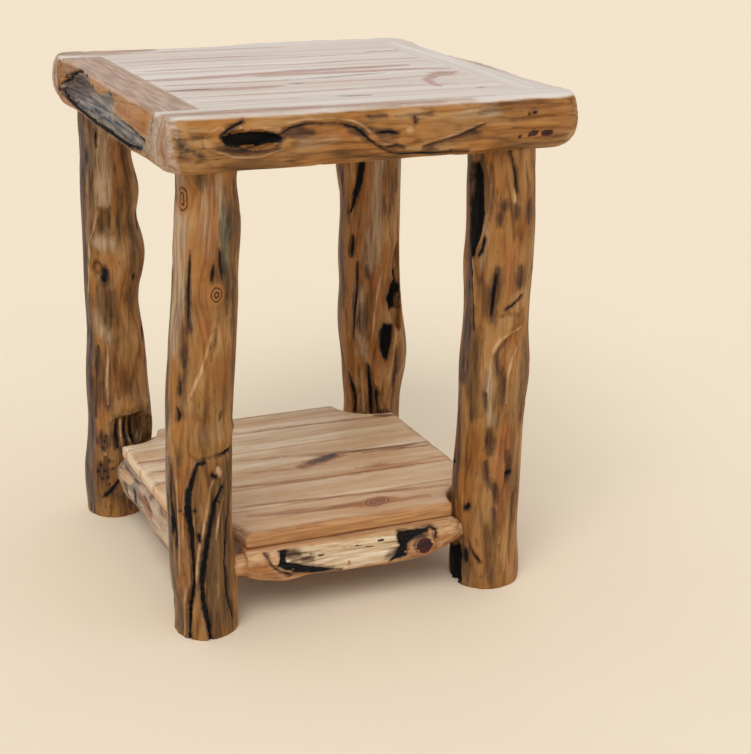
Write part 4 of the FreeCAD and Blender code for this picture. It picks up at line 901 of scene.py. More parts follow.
# Legs: marks are written as degrees round the leg from the right, seen from above, and height in mm
legRelief = {"grain": "z", "stretch": 8, "swell": 1.4, "swellSize": 38, "furrow": 0.55, "furrowSize": 17,
             "fibre": 0.25, "fibreSize": 4.5, "coarseMesh": 2.4, "fineMesh": 1.6}
legSettings = {
    "front_left": {"centre": (-199, -208), "radius": 41, "seed": 3, "marks": [
        ("bleach", 34, [(204, 576), (204, 500), (201, 440), (194, 370)]),
        ("bleach", 12, [(279, 572), (288, 536), (291, 500), (300, 470)]),
        ("bleach", 10, [(178, 300), (180, 200), (178, 60)]),
        ("red", 8, [(268, 574), (269, 538), (268, 505)]),
        ("red", 12, [(262, 500), (256, 440), (256, 390), (250, 350)]),
        ("bleach", 12, [(262, 560), (260, 520), (262, 480)]),
        ("shade", 12, [(250, 576), (252, 556)]),
        ("shade", 14, [(301, 560), (306, 520), (304, 470), (300, 430)]),
        ("shade", 12, [(228, 420), (226, 390), (222, 340), (216, 290)]),
        # Painted shade down the leg's right side
        ("shade", 10, [(322, 560), (318, 400), (322, 260)]),
        ("knot", 20, [(211, 546), (211, 539)]),
        ("knot", 17, [(278, 433)]),
        ("crack", 2.6, [(230, 486), (227, 451), (226, 416), (227, 396)]),
        ("stain", 5, [(227, 470), (225, 420), (224, 396)]),
        ("crack", 3.6, [(284, 485), (286, 467), (290, 449)]),
        ("crack", 3.4, [(272, 466), (268, 449)]),
        ("ridge", 2.6, [(274, 402), (259, 372), (247, 343), (225, 307)]),
        ("furrow", 3.4, [(279, 404), (276, 384), (266, 356)]),
        ("furrow", 3.0, [(304, 423), (297, 379), (296, 330)]),
        ("furrow", 3.0, [(310, 400), (300, 340), (296, 300)]),
        ("stain", 11, [(225, 398), (224, 388)]),
        ("stain", 8, [(220, 374), (220, 350)]),
        ("stain", 6, [(213, 337), (212, 326)]),
        ("crack", 2.0, [(213, 330), (212, 316)]),
        ("crack", 2.4, [(209, 298), (211, 289), (209, 282)]),
        ("stain", 6, [(285, 290), (278, 280)]),
        ("lobe", 20, [(325, 264), (290, 258), (262, 254), (240, 252), (220, 254), (204, 270)]),
        ("lobe", 10, [(214, 300), (240, 292), (270, 296)]),
        ("furrow", 4.0, [(330, 243), (300, 239), (283, 238), (258, 236), (238, 233), (226, 240)]),
        ("crack", 3.2, [(322, 246), (310, 240), (296, 238), (282, 238)]),
        # Painted shade over the foot between the grooves, darkest on the right, the side away from the light
        ("shade", 34, [(304, 222), (296, 190), (288, 150), (288, 110), (292, 60), (298, 10)]),
        ("shade", 22, [(276, 200), (268, 160), (264, 120), (264, 60), (272, 6)]),
        ("shade", 12, [(240, 216), (236, 180), (238, 140), (234, 100)]),
        ("shade", 11, [(240, 218), (237, 188), (240, 156)]),
        ("shade", 8, [(196, 230), (198, 160), (200, 80), (200, 12)]),
        ("groove", 7.0, [(250, 231), (238, 229), (231, 214), (224, 195), (220, 173), (222, 144),
                         (224, 111), (227, 74), (219, 47), (218, 2)]),
        ("groove", 8.2, [(284, 196), (267, 177), (258, 145), (250, 114), (243, 83), (244, 56), (253, 17),
                         (256, 1)]),
        ("groove", 5.5, [(304, 160), (297, 138), (290, 98), (295, 56), (310, 22)]),
        ("groove", 4.5, [(326, 240), (318, 200), (310, 176), (304, 160)]),
        ("crack", 2.4, [(192, 224), (190, 180), (198, 120)]),
        ("ridge", 3.0, [(236, 233), (229, 222), (218, 191), (213, 164), (214, 127), (217, 73), (211, 47),
                        (208, 4)]),
        ("ridge", 3.2, [(272, 222), (259, 198), (252, 162), (241, 126), (234, 83), (238, 48), (246, 20),
                        (250, 2)]),
        ("ridge", 2.4, [(288, 186), (276, 160), (269, 130)]),
        ("ridge", 2.4, [(203, 222), (205, 171), (206, 120), (203, 65)]),
        ("red", 8, [(210, 220), (209, 150), (210, 60)]),
        ("red", 6, [(246, 190), (244, 150), (232, 100)]),
        ("hole", 4.6, [(264, 215), (271, 211)]),
        ("pale", 7, [(274, 222), (278, 212)]),
        ("hole", 2.6, [(276, 179)]),
        ("hole", 2.6, [(233, 170)]),
        ("hole", 2.4, [(238, 140), (240, 132)]),
        ("hole", 2.4, [(210, 168)]),
        ("hole", 4.4, [(190, 154), (188, 136)]),
        # Painted shade: dark strips down the leg's left side
        ("slate", 9, [(172, 420), (176, 320), (180, 240)]),
        ("slate", 9, [(184, 230), (180, 150), (186, 73), (184, 10)]),
        ("moss", [(290, 538), (299, 524), (305, 500), (303, 474), (298, 454), (288, 449), (287, 485),
                  (284, 514)]),
        ("slate", 5, [(296, 530), (299, 500), (294, 470)]),
    ]},
    "front_right": {"centre": (185, -208), "radius": 41, "seed": 11, "marks": [
        # Painted shade: dark strips down the leg's left side
        ("slate", 16, [(178, 576), (176, 520), (178, 470), (180, 420)]),
        ("slate", 18, [(184, 430), (184, 380), (184, 330), (180, 280)]),
        ("slate", 10, [(176, 260), (176, 180), (172, 120)]),
        ("shade", 12, [(205, 576), (206, 540), (206, 500)]),
        ("shade", 22, [(205, 350), (202, 316), (204, 280), (210, 240)]),
        # Painted shade down the leg's right side
        ("shade", 10, [(330, 560), (330, 400), (326, 250)]),
        ("shade", 12, [(300, 330), (306, 280), (304, 230)]),
        ("red", 14, [(250, 470), (262, 440), (262, 400)]),
        ("red", 20, [(268, 220), (266, 160), (262, 100)]),
        ("bleach", 10, [(212, 540), (214, 470), (208, 430)]),
        ("bleach", 12, [(236, 300), (232, 270), (240, 230)]),
        ("crack", 2.6, [(184, 438), (190, 412), (197, 387), (202, 348)]),
        ("ridge", 2.4, [(190, 436), (196, 410), (203, 380)]),
        ("crack", 4.6, [(216, 466), (210, 450), (202, 440)]),
        ("crack", 2.2, [(252, 575), (257, 560), (262, 545), (268, 524)]),
        ("furrow", 5, [(254, 576), (262, 545), (270, 515)]),
        ("furrow", 4, [(222, 560), (226, 520), (222, 490)]),
        ("furrow", 4, [(286, 560), (292, 530), (288, 500)]),
        ("stain", 14, [(246, 514), (246, 502)]),
        ("stain", 9, [(243, 505), (241, 484)]),
        ("stain", 7, [(264, 508), (265, 490)]),
        ("stain", 12, [(294, 509), (293, 484)]),
        ("ridge", 4, [(261, 526), (262, 510)]),
        ("furrow", 10, [(241, 428), (237, 405), (232, 385), (235, 364)]),
        ("stain", 15, [(241, 428), (237, 402), (232, 384), (234, 362)]),
        ("crack", 5.0, [(238, 420), (234, 395), (231, 368)]),
        ("stain", 13, [(278, 430), (281, 404)]),
        ("crack", 3.0, [(286, 393), (276, 386)]),
        ("crack", 1.9, [(276, 386), (256, 377)]),
        ("lobe", 20, [(296, 362), (262, 356), (244, 348), (233, 330), (228, 304), (226, 276)]),
        ("lobe", 16, [(284, 330), (272, 306), (268, 282), (266, 240)]),
        ("ridge", 3.0, [(292, 352), (266, 346), (248, 338), (238, 322), (233, 300)]),
        ("ridge", 2.6, [(286, 334), (270, 316), (262, 290), (262, 256)]),
        ("furrow", 8, [(268, 340), (250, 328), (243, 314), (248, 296), (254, 284), (252, 262)]),
        ("stain", 10, [(243, 318), (249, 296), (254, 284), (252, 256)]),
        ("furrow", 5, [(300, 372), (284, 366), (262, 370), (240, 366)]),
        ("furrow", 6, [(228, 268), (229, 246), (222, 236)]),
        ("stain", 6, [(228, 268), (229, 248)]),
        ("dent", [(232, 222), (242, 224), (245, 204), (240, 190), (232, 194)]),
        ("stain", 12, [(238, 216), (238, 198)]),
        ("furrow", 8, [(232, 176), (236, 156), (250, 140), (262, 118)]),
        ("stain", 11, [(232, 176), (236, 156), (248, 142), (260, 122)]),
        ("furrow", 6, [(274, 178), (272, 156), (264, 132), (262, 108)]),
        ("lobe", 13, [(252, 178), (254, 160)]),
        ("red", 12, [(252, 178), (254, 160)]),
        ("stain", 9, [(270, 190), (274, 172), (270, 150)]),
        ("hole", 4.0, [(272, 160), (277, 161)]),
        ("hole", 3.0, [(164, 164), (169, 165)]),
        ("hole", 4.4, [(202, 109), (208, 115)]),
        ("crack", 5.5, [(205, 54), (206, 36)]),
        ("crack", 2.4, [(215, 54), (222, 44), (232, 38)]),
        ("furrow", 7, [(208, 66), (214, 52), (230, 40)]),
        ("stain", 5, [(250, 112), (253, 92)]),
        ("shade", 12, [(196, 66), (196, 40), (204, 12)]),
        ("furrow", 4, [(290, 130), (286, 80), (292, 30)]),
        ("furrow", 4, [(240, 90), (244, 50), (238, 14)]),
        ("hollow", [(190, 557), (194, 540), (193, 514), (199, 488), (201, 463), (195, 440), (185, 437),
                    (181, 464), (178, 504), (181, 540), (185, 554)]),
        # Painted shade at the foot: the cavern darker, black where it lies deepest
        ("cavern", [(160, 50), (186, 46), (196, 30), (200, 4), (158, 0)]),
        ("blackened", [(160, 46), (178, 40), (190, 22), (196, 2), (158, 0)]),
    ]},
    "back_left": {"centre": (-199, 182), "radius": 41, "seed": 19, "marks": [
        # Painted shade: dark grey strips down the leg's left side
        ("slate", 22, [(192, 576), (190, 480), (186, 400), (188, 300), (192, 200), (190, 100),
                       (188, 10)]),
        ("grey", 10, [(212, 570), (210, 500), (206, 440), (200, 380)]),
        ("bleach", 34, [(240, 560), (240, 500), (236, 460)]),
        # Painted highlights on the two lobes
        ("bleach", 24, [(224, 400), (248, 398)]),
        ("bleach", 18, [(218, 300), (222, 280), (240, 266)]),
        ("shade", 18, [(216, 560), (212, 480), (214, 446)]),
        ("shade", 24, [(236, 352), (232, 316), (232, 290)]),
        ("shade", 20, [(232, 240), (228, 200), (236, 170)]),
        ("shade", 14, [(262, 500), (268, 460), (270, 410)]),
        ("shade", 16, [(290, 560), (296, 480), (300, 400), (290, 320)]),
        ("shade", 14, [(250, 330), (246, 300), (240, 280)]),
        ("red", 8, [(258, 540), (262, 500)]),
        ("red", 14, [(240, 250), (236, 210), (228, 150)]),
        ("crack", 4.2, [(298, 354), (298, 344)]),
        ("crack", 5.5, [(344, 438), (322, 410)]),
        ("crack", 5.0, [(336, 279), (322, 255)]),
        ("crack", 2.2, [(226, 552), (225, 530)]),
        ("ridge", 2.6, [(226, 442), (217, 421), (207, 391), (203, 347), (196, 322), (196, 280)]),
        ("lobe", 22, [(212, 402), (230, 400), (250, 398)]),
        ("lobe", 14, [(221, 268), (258, 270)]),
        ("stain", 9, [(243, 330), (243, 296)]),
        ("furrow", 8, [(216, 253), (211, 204), (210, 152)]),
        ("stain", 12, [(216, 253), (211, 204), (210, 152)]),
        ("furrow", 5, [(254, 250), (250, 210), (256, 180)]),
        ("ridge", 3.4, [(237, 256), (234, 206), (236, 172)]),
        ("lobe", 13, [(240, 160), (266, 172), (320, 164)]),
        ("dent", [(227, 448), (252, 447), (257, 434), (254, 414), (228, 413)]),
        ("shade", 10, [(232, 424), (250, 424)]),
        ("stain", 6, [(228, 430), (230, 417)]),
        ("stain", 13, [(236, 368), (235, 344)]),
        ("hole", 7.5, [(236, 362), (235, 349)]),
        ("stain", 15, [(222, 128), (225, 104)]),
        ("stain", 15, [(221, 84), (227, 60)]),
        ("hole", 2.6, [(219, 122)]),
        ("hole", 2.2, [(226, 116)]),
        ("hole", 2.8, [(222, 106)]),
        ("hole", 2.0, [(230, 124)]),
        ("hole", 2.4, [(219, 80)]),
        ("hole", 2.6, [(226, 72)]),
        ("hole", 2.0, [(231, 62)]),
        ("hole", 2.4, [(221, 60)]),
        ("hole", 2.0, [(214, 70)]),
        ("hole", 2.2, [(236, 88)]),
        ("hole", 2.0, [(240, 76)]),
        ("hole", 2.4, [(232, 52)]),
        ("pale", 7, [(226, 112), (227, 98)]),
        ("crack", 5.0, [(218, 30), (233, 40), (252, 60)]),
        ("shade", 14, [(216, 60), (230, 40), (256, 30)]),
        ("slate", 8, [(274, 90), (280, 50), (270, 14)]),
        ("cavern", [(240, 146), (252, 155), (290, 158), (327, 143), (339, 105), (300, 96), (262, 98),
                    (244, 112)]),
        ("groove", 5, [(248, 148), (246, 130), (250, 108)]),
        ("groove", 6, [(266, 152), (264, 130), (268, 104)]),
        ("groove", 5, [(288, 152), (290, 128), (286, 104)]),
        ("ridge", 3, [(256, 150), (256, 128), (260, 106)]),
        ("ridge", 3, [(277, 150), (277, 126), (278, 106)]),
    ]},
    "back_right": {"centre": (185, 182), "radius": 41, "seed": 27, "marks": [
        # Painted shade: dark strips down the leg's left and right sides
        ("slate", 10, [(188, 576), (186, 480), (184, 380), (186, 240)]),
        ("slate", 8, [(330, 560), (336, 420), (336, 330)]),
        ("shade", 10, [(306, 570), (310, 500), (300, 440)]),
        ("red", 9, [(236, 500), (238, 440), (240, 390)]),
        ("red", 14, [(256, 330), (262, 280), (250, 240)]),
        ("red", 14, [(262, 200), (250, 160), (240, 120)]),
        ("bleach", 22, [(256, 540), (258, 470), (252, 400), (248, 330)]),
        ("bleach", 16, [(224, 300), (228, 250), (232, 200)]),
        ("bleach", 9, [(214, 570), (208, 520)]),
        ("groove", 7.5, [(229, 496), (224, 462), (214, 434), (204, 409)]),
        ("shade", 7, [(206, 420), (203, 396)]),
        ("crack", 3.8, [(214, 376), (213, 346)]),
        ("furrow", 4, [(276, 520), (282, 470), (284, 419), (287, 369)]),
        ("furrow", 4, [(296, 540), (292, 480), (296, 420)]),
        ("stain", 6, [(276, 423), (274, 407)]),
        ("stain", 6, [(238, 332), (240, 316)]),
        ("crack", 1.9, [(223, 338), (221, 281), (218, 220)]),
        ("ridge", 3, [(267, 326), (256, 282), (250, 222)]),
        ("furrow", 8, [(240, 290), (238, 250), (244, 220)]),
        ("stain", 8, [(228, 275), (230, 232)]),
        ("ridge", 3, [(233, 171), (237, 107)]),
        ("ridge", 3, [(292, 240), (290, 200), (282, 160)]),
        ("lobe", 12, [(300, 230), (312, 200), (300, 170)]),
        ("stain", 8, [(300, 214), (296, 180), (290, 150)]),
        ("groove", 6, [(204, 164), (216, 136), (214, 104)]),
        ("groove", 6, [(244, 182), (248, 145), (252, 106)]),
        ("groove", 4.5, [(259, 150), (266, 106)]),
        ("furrow", 5, [(226, 180), (230, 140), (228, 108)]),
        ("stain", 13, [(268, 108), (288, 104)]),
        ("hollow", [(322, 320), (315, 300), (322, 262), (300, 256), (280, 264), (276, 284), (290, 306)]),
        ("hollow", [(270, 246), (286, 243), (286, 216), (278, 190), (270, 194), (263, 214), (264, 236)]),
    ]},
}


def makeLeg(place, settings):
    node = "leg_" + place
    piece = copyOfNode(node, "log_" + place)
    marks = settings["marks"] + strewnMarks(settings["seed"])
    dressLog(piece, {**legRelief, **settings, "pith": (*settings["centre"], 0)}, [(settings, marks)])
    piece.data.materials.append(legWood)
    bpy.ops.object.shade_smooth()
    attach(piece, "root")
    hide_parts(node)


for place, settings in legSettings.items():
    makeLeg(place, settings)
    print("leg", place, "dressed")


# Half logs round the top: marks in mm on each face
railRelief = {"stretch": 7, "swell": 1.1, "swellSize": 32, "furrow": 0.45, "furrowSize": 14,
              "fibre": 0.22, "fibreSize": 4.5, "coarseMesh": 2.4, "fineMesh": 1.7, "rubs": 10,
              "planedFrom": 636.8}
railSettings = {
    "front": {"grain": "x", "seed": 5, "pith": (0, -205, 600), "faces": {
        "front": [
            ("hollow", [(-197, 617), (-188, 622), (-172, 622), (-146, 621), (-131, 618), (-123, 612),
                        (-131, 605), (-152, 601), (-174, 603), (-189, 608)]),
            ("crack", 2.6, [(-196, 619), (-186, 625), (-177, 629), (-168, 633)]),
            ("stain", 9, [(-196, 610), (-176, 600), (-150, 597), (-126, 602)]),
            ("shade", 9, [(-204, 612), (-190, 600), (-160, 594), (-130, 597)]),
            ("ridge", 3.0, [(-206, 604), (-180, 594), (-150, 592), (-122, 600)]),
            ("ridge", 3.2, [(-192, 626), (-187, 616)]),
            ("ridge", 3.0, [(-174, 632), (-170, 622)]),
            ("crack", 2.0, [(-124, 618), (-112, 623), (-96, 626), (-63, 625), (-44, 621)]),
            ("crack", 3.4, [(-54, 623), (-36, 618), (-28, 612), (-16, 601), (-2, 592)]),
            ("crack", 1.8, [(-8, 596), (4, 589), (14, 585), (27, 583), (60, 582), (107, 581)]),
            ("stain", 9, [(-121, 619), (-100, 617), (-88, 617)]),
            ("stain", 6, [(-44, 617), (-30, 609), (-18, 598)]),
            ("red", 12, [(-96, 618), (-60, 614), (-40, 608)]),
            ("shade", 9, [(-30, 622), (-10, 610), (4, 596)]),
            ("lobe", 9, [(-8, 598), (8, 594), (22, 590)]),
            ("ridge", 2.2, [(-10, 600), (2, 597), (18, 595), (30, 588)]),
            ("crack", 1.2, [(2, 593), (14, 596), (24, 592)]),
            ("crack", 3.0, [(-8, 610), (4, 611), (16, 608)]),
            ("stain", 7, [(-9, 607), (6, 606), (16, 604)]),
            ("lobe", 11, [(28, 612), (33, 610)]),
            # painted highlight on the knob
            ("pale", 9, [(28, 612), (33, 610)]),
            ("ridge", 2.4, [(-118, 628), (-96, 631), (-60, 630), (-42, 627), (-26, 619), (-12, 606)]),
            ("stain", 5, [(-20, 629), (2, 629)]),
            ("stain", 4, [(14, 628), (40, 628), (58, 629)]),
            ("hole", 2.6, [(37, 625)]),
            ("hole", 2.0, [(38, 620)]),
            ("lobe", 10, [(60, 584), (110, 587), (150, 590)]),
            ("ridge", 2.4, [(50, 595), (75, 600), (97, 605), (114, 611), (130, 616)]),
            ("crack", 1.3, [(50, 591), (75, 597), (97, 602), (114, 608), (127, 613)]),
            ("stain", 4, [(50, 590), (75, 595), (97, 600), (114, 606)]),
            ("furrow", 3, [(127, 613), (160, 613), (230, 616)]),
            ("shade", 8, [(60, 590), (90, 593), (118, 600)]),
            ("hole", 2.4, [(186, 620)]),
            ("hole", 2.8, [(192, 621), (195, 621)]),
            ("pit", 4.2, [(175, 594)]),
            ("pit", 6.2, [(188, 595), (197, 596)]),
            ("pit", 6.0, [(206, 596), (216, 596)]),
            ("red", 10, [(170, 592), (200, 593), (228, 594)]),
            ("hole", 1.8, [(193, 598)]),
            ("hole", 2.0, [(84, 584)]),
            ("shade", 14, [(-242, 614), (-236, 604)]),
            ("furrow", 7, [(-246, 620), (-238, 610), (-240, 598), (-230, 594)]),
            ("furrow", 5, [(-230, 622), (-215, 616), (-214, 606), (-224, 600)]),
            ("furrow", 5, [(-222, 590), (-206, 596), (-196, 592)]),
            ("stain", 9, [(-224, 600), (-214, 596)]),
            ("ridge", 2.6, [(-228, 626), (-206, 624), (-194, 629)]),
            ("shade", 8, [(-226, 620), (-208, 618)]),
            ("shade", 9, [(-190, 584), (-150, 582), (-100, 586)]),
            ("shade", 8, [(-60, 590), (-20, 582), (20, 578)]),
            ("furrow", 4, [(-110, 604), (-70, 602), (-30, 596)]),
            ("bleach", 9, [(-100, 606), (-60, 607)]),
            ("shade", 9, [(140, 580), (190, 582), (236, 586)]),
            ("furrow", 4, [(120, 626), (180, 628), (230, 627)]),
            ("bleach", 10, [(90, 624), (140, 626)]),
        ],
        "left": [
            ("ashen", 58, [(-240, 642), (-240, 578)]),
            ("grey", 7, [(-221, 634), (-223, 584)]),
            ("bleach", 8, [(-234, 634), (-235, 586)]),
            ("red", 6, [(-250, 632), (-251, 588)]),
        ],
        "top": [
            ("heart", 7, [(-190, -246), (40, -243), (150, -242)]),
            ("tan", 27, [(-250, -243), (-160, -244), (-70, -249)]),
            ("tan", 18, [(-100, -250), (-20, -252), (110, -256)]),
        ],
    }},
    "left": {"grain": "y", "seed": 8, "pith": (-190, 0, 596), "faces": {
        "left": [
            ("weathered", [(202, 606), (170, 622), (126, 633), (97, 638), (76, 634), (45, 629), (18, 626),
                           (-12, 628), (-36, 634), (-58, 634), (-75, 620), (-92, 606), (-140, 604),
                           (-190, 603), (-188, 593), (-160, 587), (-120, 581), (-60, 579), (0, 579),
                           (60, 580), (110, 583), (160, 589), (200, 596)]),
            # Painted shade inside the weathered hollow
            ("slate", 34, [(170, 606), (120, 618), (90, 622)]),
            ("slate", 9, [(30, 616), (-20, 624), (-50, 626)]),
            ("groove", 6.5, [(202, 600), (160, 589), (110, 583), (46, 580), (-10, 581), (-70, 581),
                             (-120, 583), (-164, 589)]),
            ("groove", 7.0, [(-46, 634), (-66, 627), (-80, 615), (-96, 607), (-140, 604), (-192, 604)]),
            ("groove", 4.5, [(200, 608), (160, 623), (114, 636), (96, 637)]),
            ("groove", 3.0, [(76, 636), (60, 630), (44, 628)]),
            ("crack", 3.0, [(60, 630), (52, 620)]),
            ("crack", 2.6, [(34, 630), (20, 626), (8, 618)]),
            ("ridge", 3.5, [(120, 577), (46, 575), (-60, 574), (-150, 579), (-182, 586)]),
            ("ashen", 12, [(60, 624), (10, 618), (-50, 606)]),
            ("lobe", 18, [(-90, 624), (-140, 620), (-180, 620)]),
            ("red", 14, [(-90, 624), (-140, 620), (-190, 618)]),
            ("bleach", 26, [(-196, 592), (-214, 600), (-216, 626)]),
            ("grey", 14, [(-204, 588), (-210, 610)]),
        ],
        "top": [
            ("heart", 24, [(-182, 195), (-180, 60), (-182, -90), (-180, -210)]),
            ("tan", 84, [(-230, 210), (-230, 60), (-230, -110), (-230, -216)]),
            ("heart", 6, [(-226, 160), (-224, 20), (-228, -140)]),
            ("stain", 2.4, [(-170, 140), (-169, 20)]),
        ],
    }},
    "right": {"grain": "y", "seed": 14, "pith": (190, 0, 596), "faces": {
        "right": [
            ("furrow", 6, [(-180, 612), (-60, 606), (60, 612)]),
            ("knot", 18, [(-96, 604)]),
            ("crack", 2.2, [(-70, 618), (10, 622), (70, 616)]),
            ("groove", 5.0, [(60, 598), (110, 602), (160, 598)]),
            ("shade", 12, [(-150, 595), (-110, 590)]),
            ("stain", 8.0, [(-150, 600), (-124, 596)]),
            ("stain", 7.0, [(20, 600), (50, 596)]),
            ("knot", 13, [(130, 618)]),
            ("ridge", 3.0, [(-30, 590), (40, 588), (120, 592)]),
            ("lobe", 14, [(-20, 606), (40, 600)]),
            ("red", 12, [(-20, 606), (60, 606)]),
            ("shade", 12, [(100, 588), (180, 590)]),
            ("bleach", 30, [(214, 630), (214, 590)]),
        ],
        "top": [("heart", 6, [(248, -150), (246, -20), (246, 120)])],
    }},
    "back": {"grain": "x", "seed": 21, "pith": (0, 205, 598), "faces": {
        "back": [
            ("hollow", [(-70, 616), (-40, 624), (10, 622), (34, 612), (10, 602), (-40, 601)]),
            ("crack", 2.4, [(34, 612), (70, 606), (120, 609)]),
            ("shade", 12, [(-100, 596), (-20, 592), (60, 598)]),
            ("knot", 20, [(120, 596)]),
            ("knot", 14, [(-160, 612)]),
            ("furrow", 6, [(-200, 598), (-130, 594), (-60, 598)]),
            ("stain", 9.0, [(150, 618), (180, 620)]),
            ("ridge", 3.0, [(-180, 588), (-60, 586), (80, 590)]),
            ("hole", 3.0, [(200, 600), (203, 600)]),
            ("red", 14, [(60, 620), (110, 622)]),
            ("bleach", 12, [(-220, 620), (-180, 624)]),
        ],
        "left": [
            ("ashen", 40, [(236, 636), (238, 586)]),
            ("grey", 5, [(226, 630), (228, 588)]),
            ("red", 9, [(250, 630), (250, 590)]),
            ("groove", 6, [(203, 606), (214, 598), (206, 590)]),
        ],
        "top": [
            ("heart", 8, [(-228, 212), (-100, 214), (60, 212)]),
            ("tan", 40, [(-256, 240), (-200, 240), (-130, 244)]),
        ],
    }},
}
# The rails' sawn faces: axis, then place in mm
railPlanes = {
    "front": [(2, 640), (1, -218), (1, -175), (2, 618)],
    "back": [(2, 640), (1, 203), (1, 149), (2, 618)],
    "left": [(2, 640), (0, -202), (0, -166), (1, -218), (1, 203), (2, 618)],
    "right": [(2, 640), (0, 198), (0, 152), (1, -218), (1, 203), (2, 618)],
}


# Each face of a level log with its marks
def faceLayouts(settings):
    grainAxis = "xyz".index(settings["grain"])
    return [({**sides[face], "grain": grainAxis}, marks) for face, marks in settings["faces"].items()]


# Where the top's arris is rubbed down, in mm: beyond these places, above this height, off the seams
topEdge = {"along": 238, "across": 245, "above": 629, "seams": (-218, 203), "off": 5}


def topArris(points):
    along, across, up = points[:, 0], points[:, 1], points[:, 2]
    outer = (np.abs(across) > topEdge["across"]) | (np.abs(along) > topEdge["along"])
    for seam in topEdge["seams"]:
        outer &= np.abs(across - seam) >= topEdge["off"]
    return outer & (up > topEdge["above"])


def makeRail(side, settings):
    node = "top_rail_" + side
    piece = copyOfNode(node, "half_log_" + side)
    dressLog(piece, {**railRelief, **settings}, faceLayouts(settings), railPlanes[side], topArris)
    piece.data.materials.append(edgeWood)
    bpy.ops.object.shade_smooth_by_angle(angle=math.radians(50))
    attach(piece, "root")
    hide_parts(node)


for side, settings in railSettings.items():
    makeRail(side, settings)
    print("half log", side, "dressed")


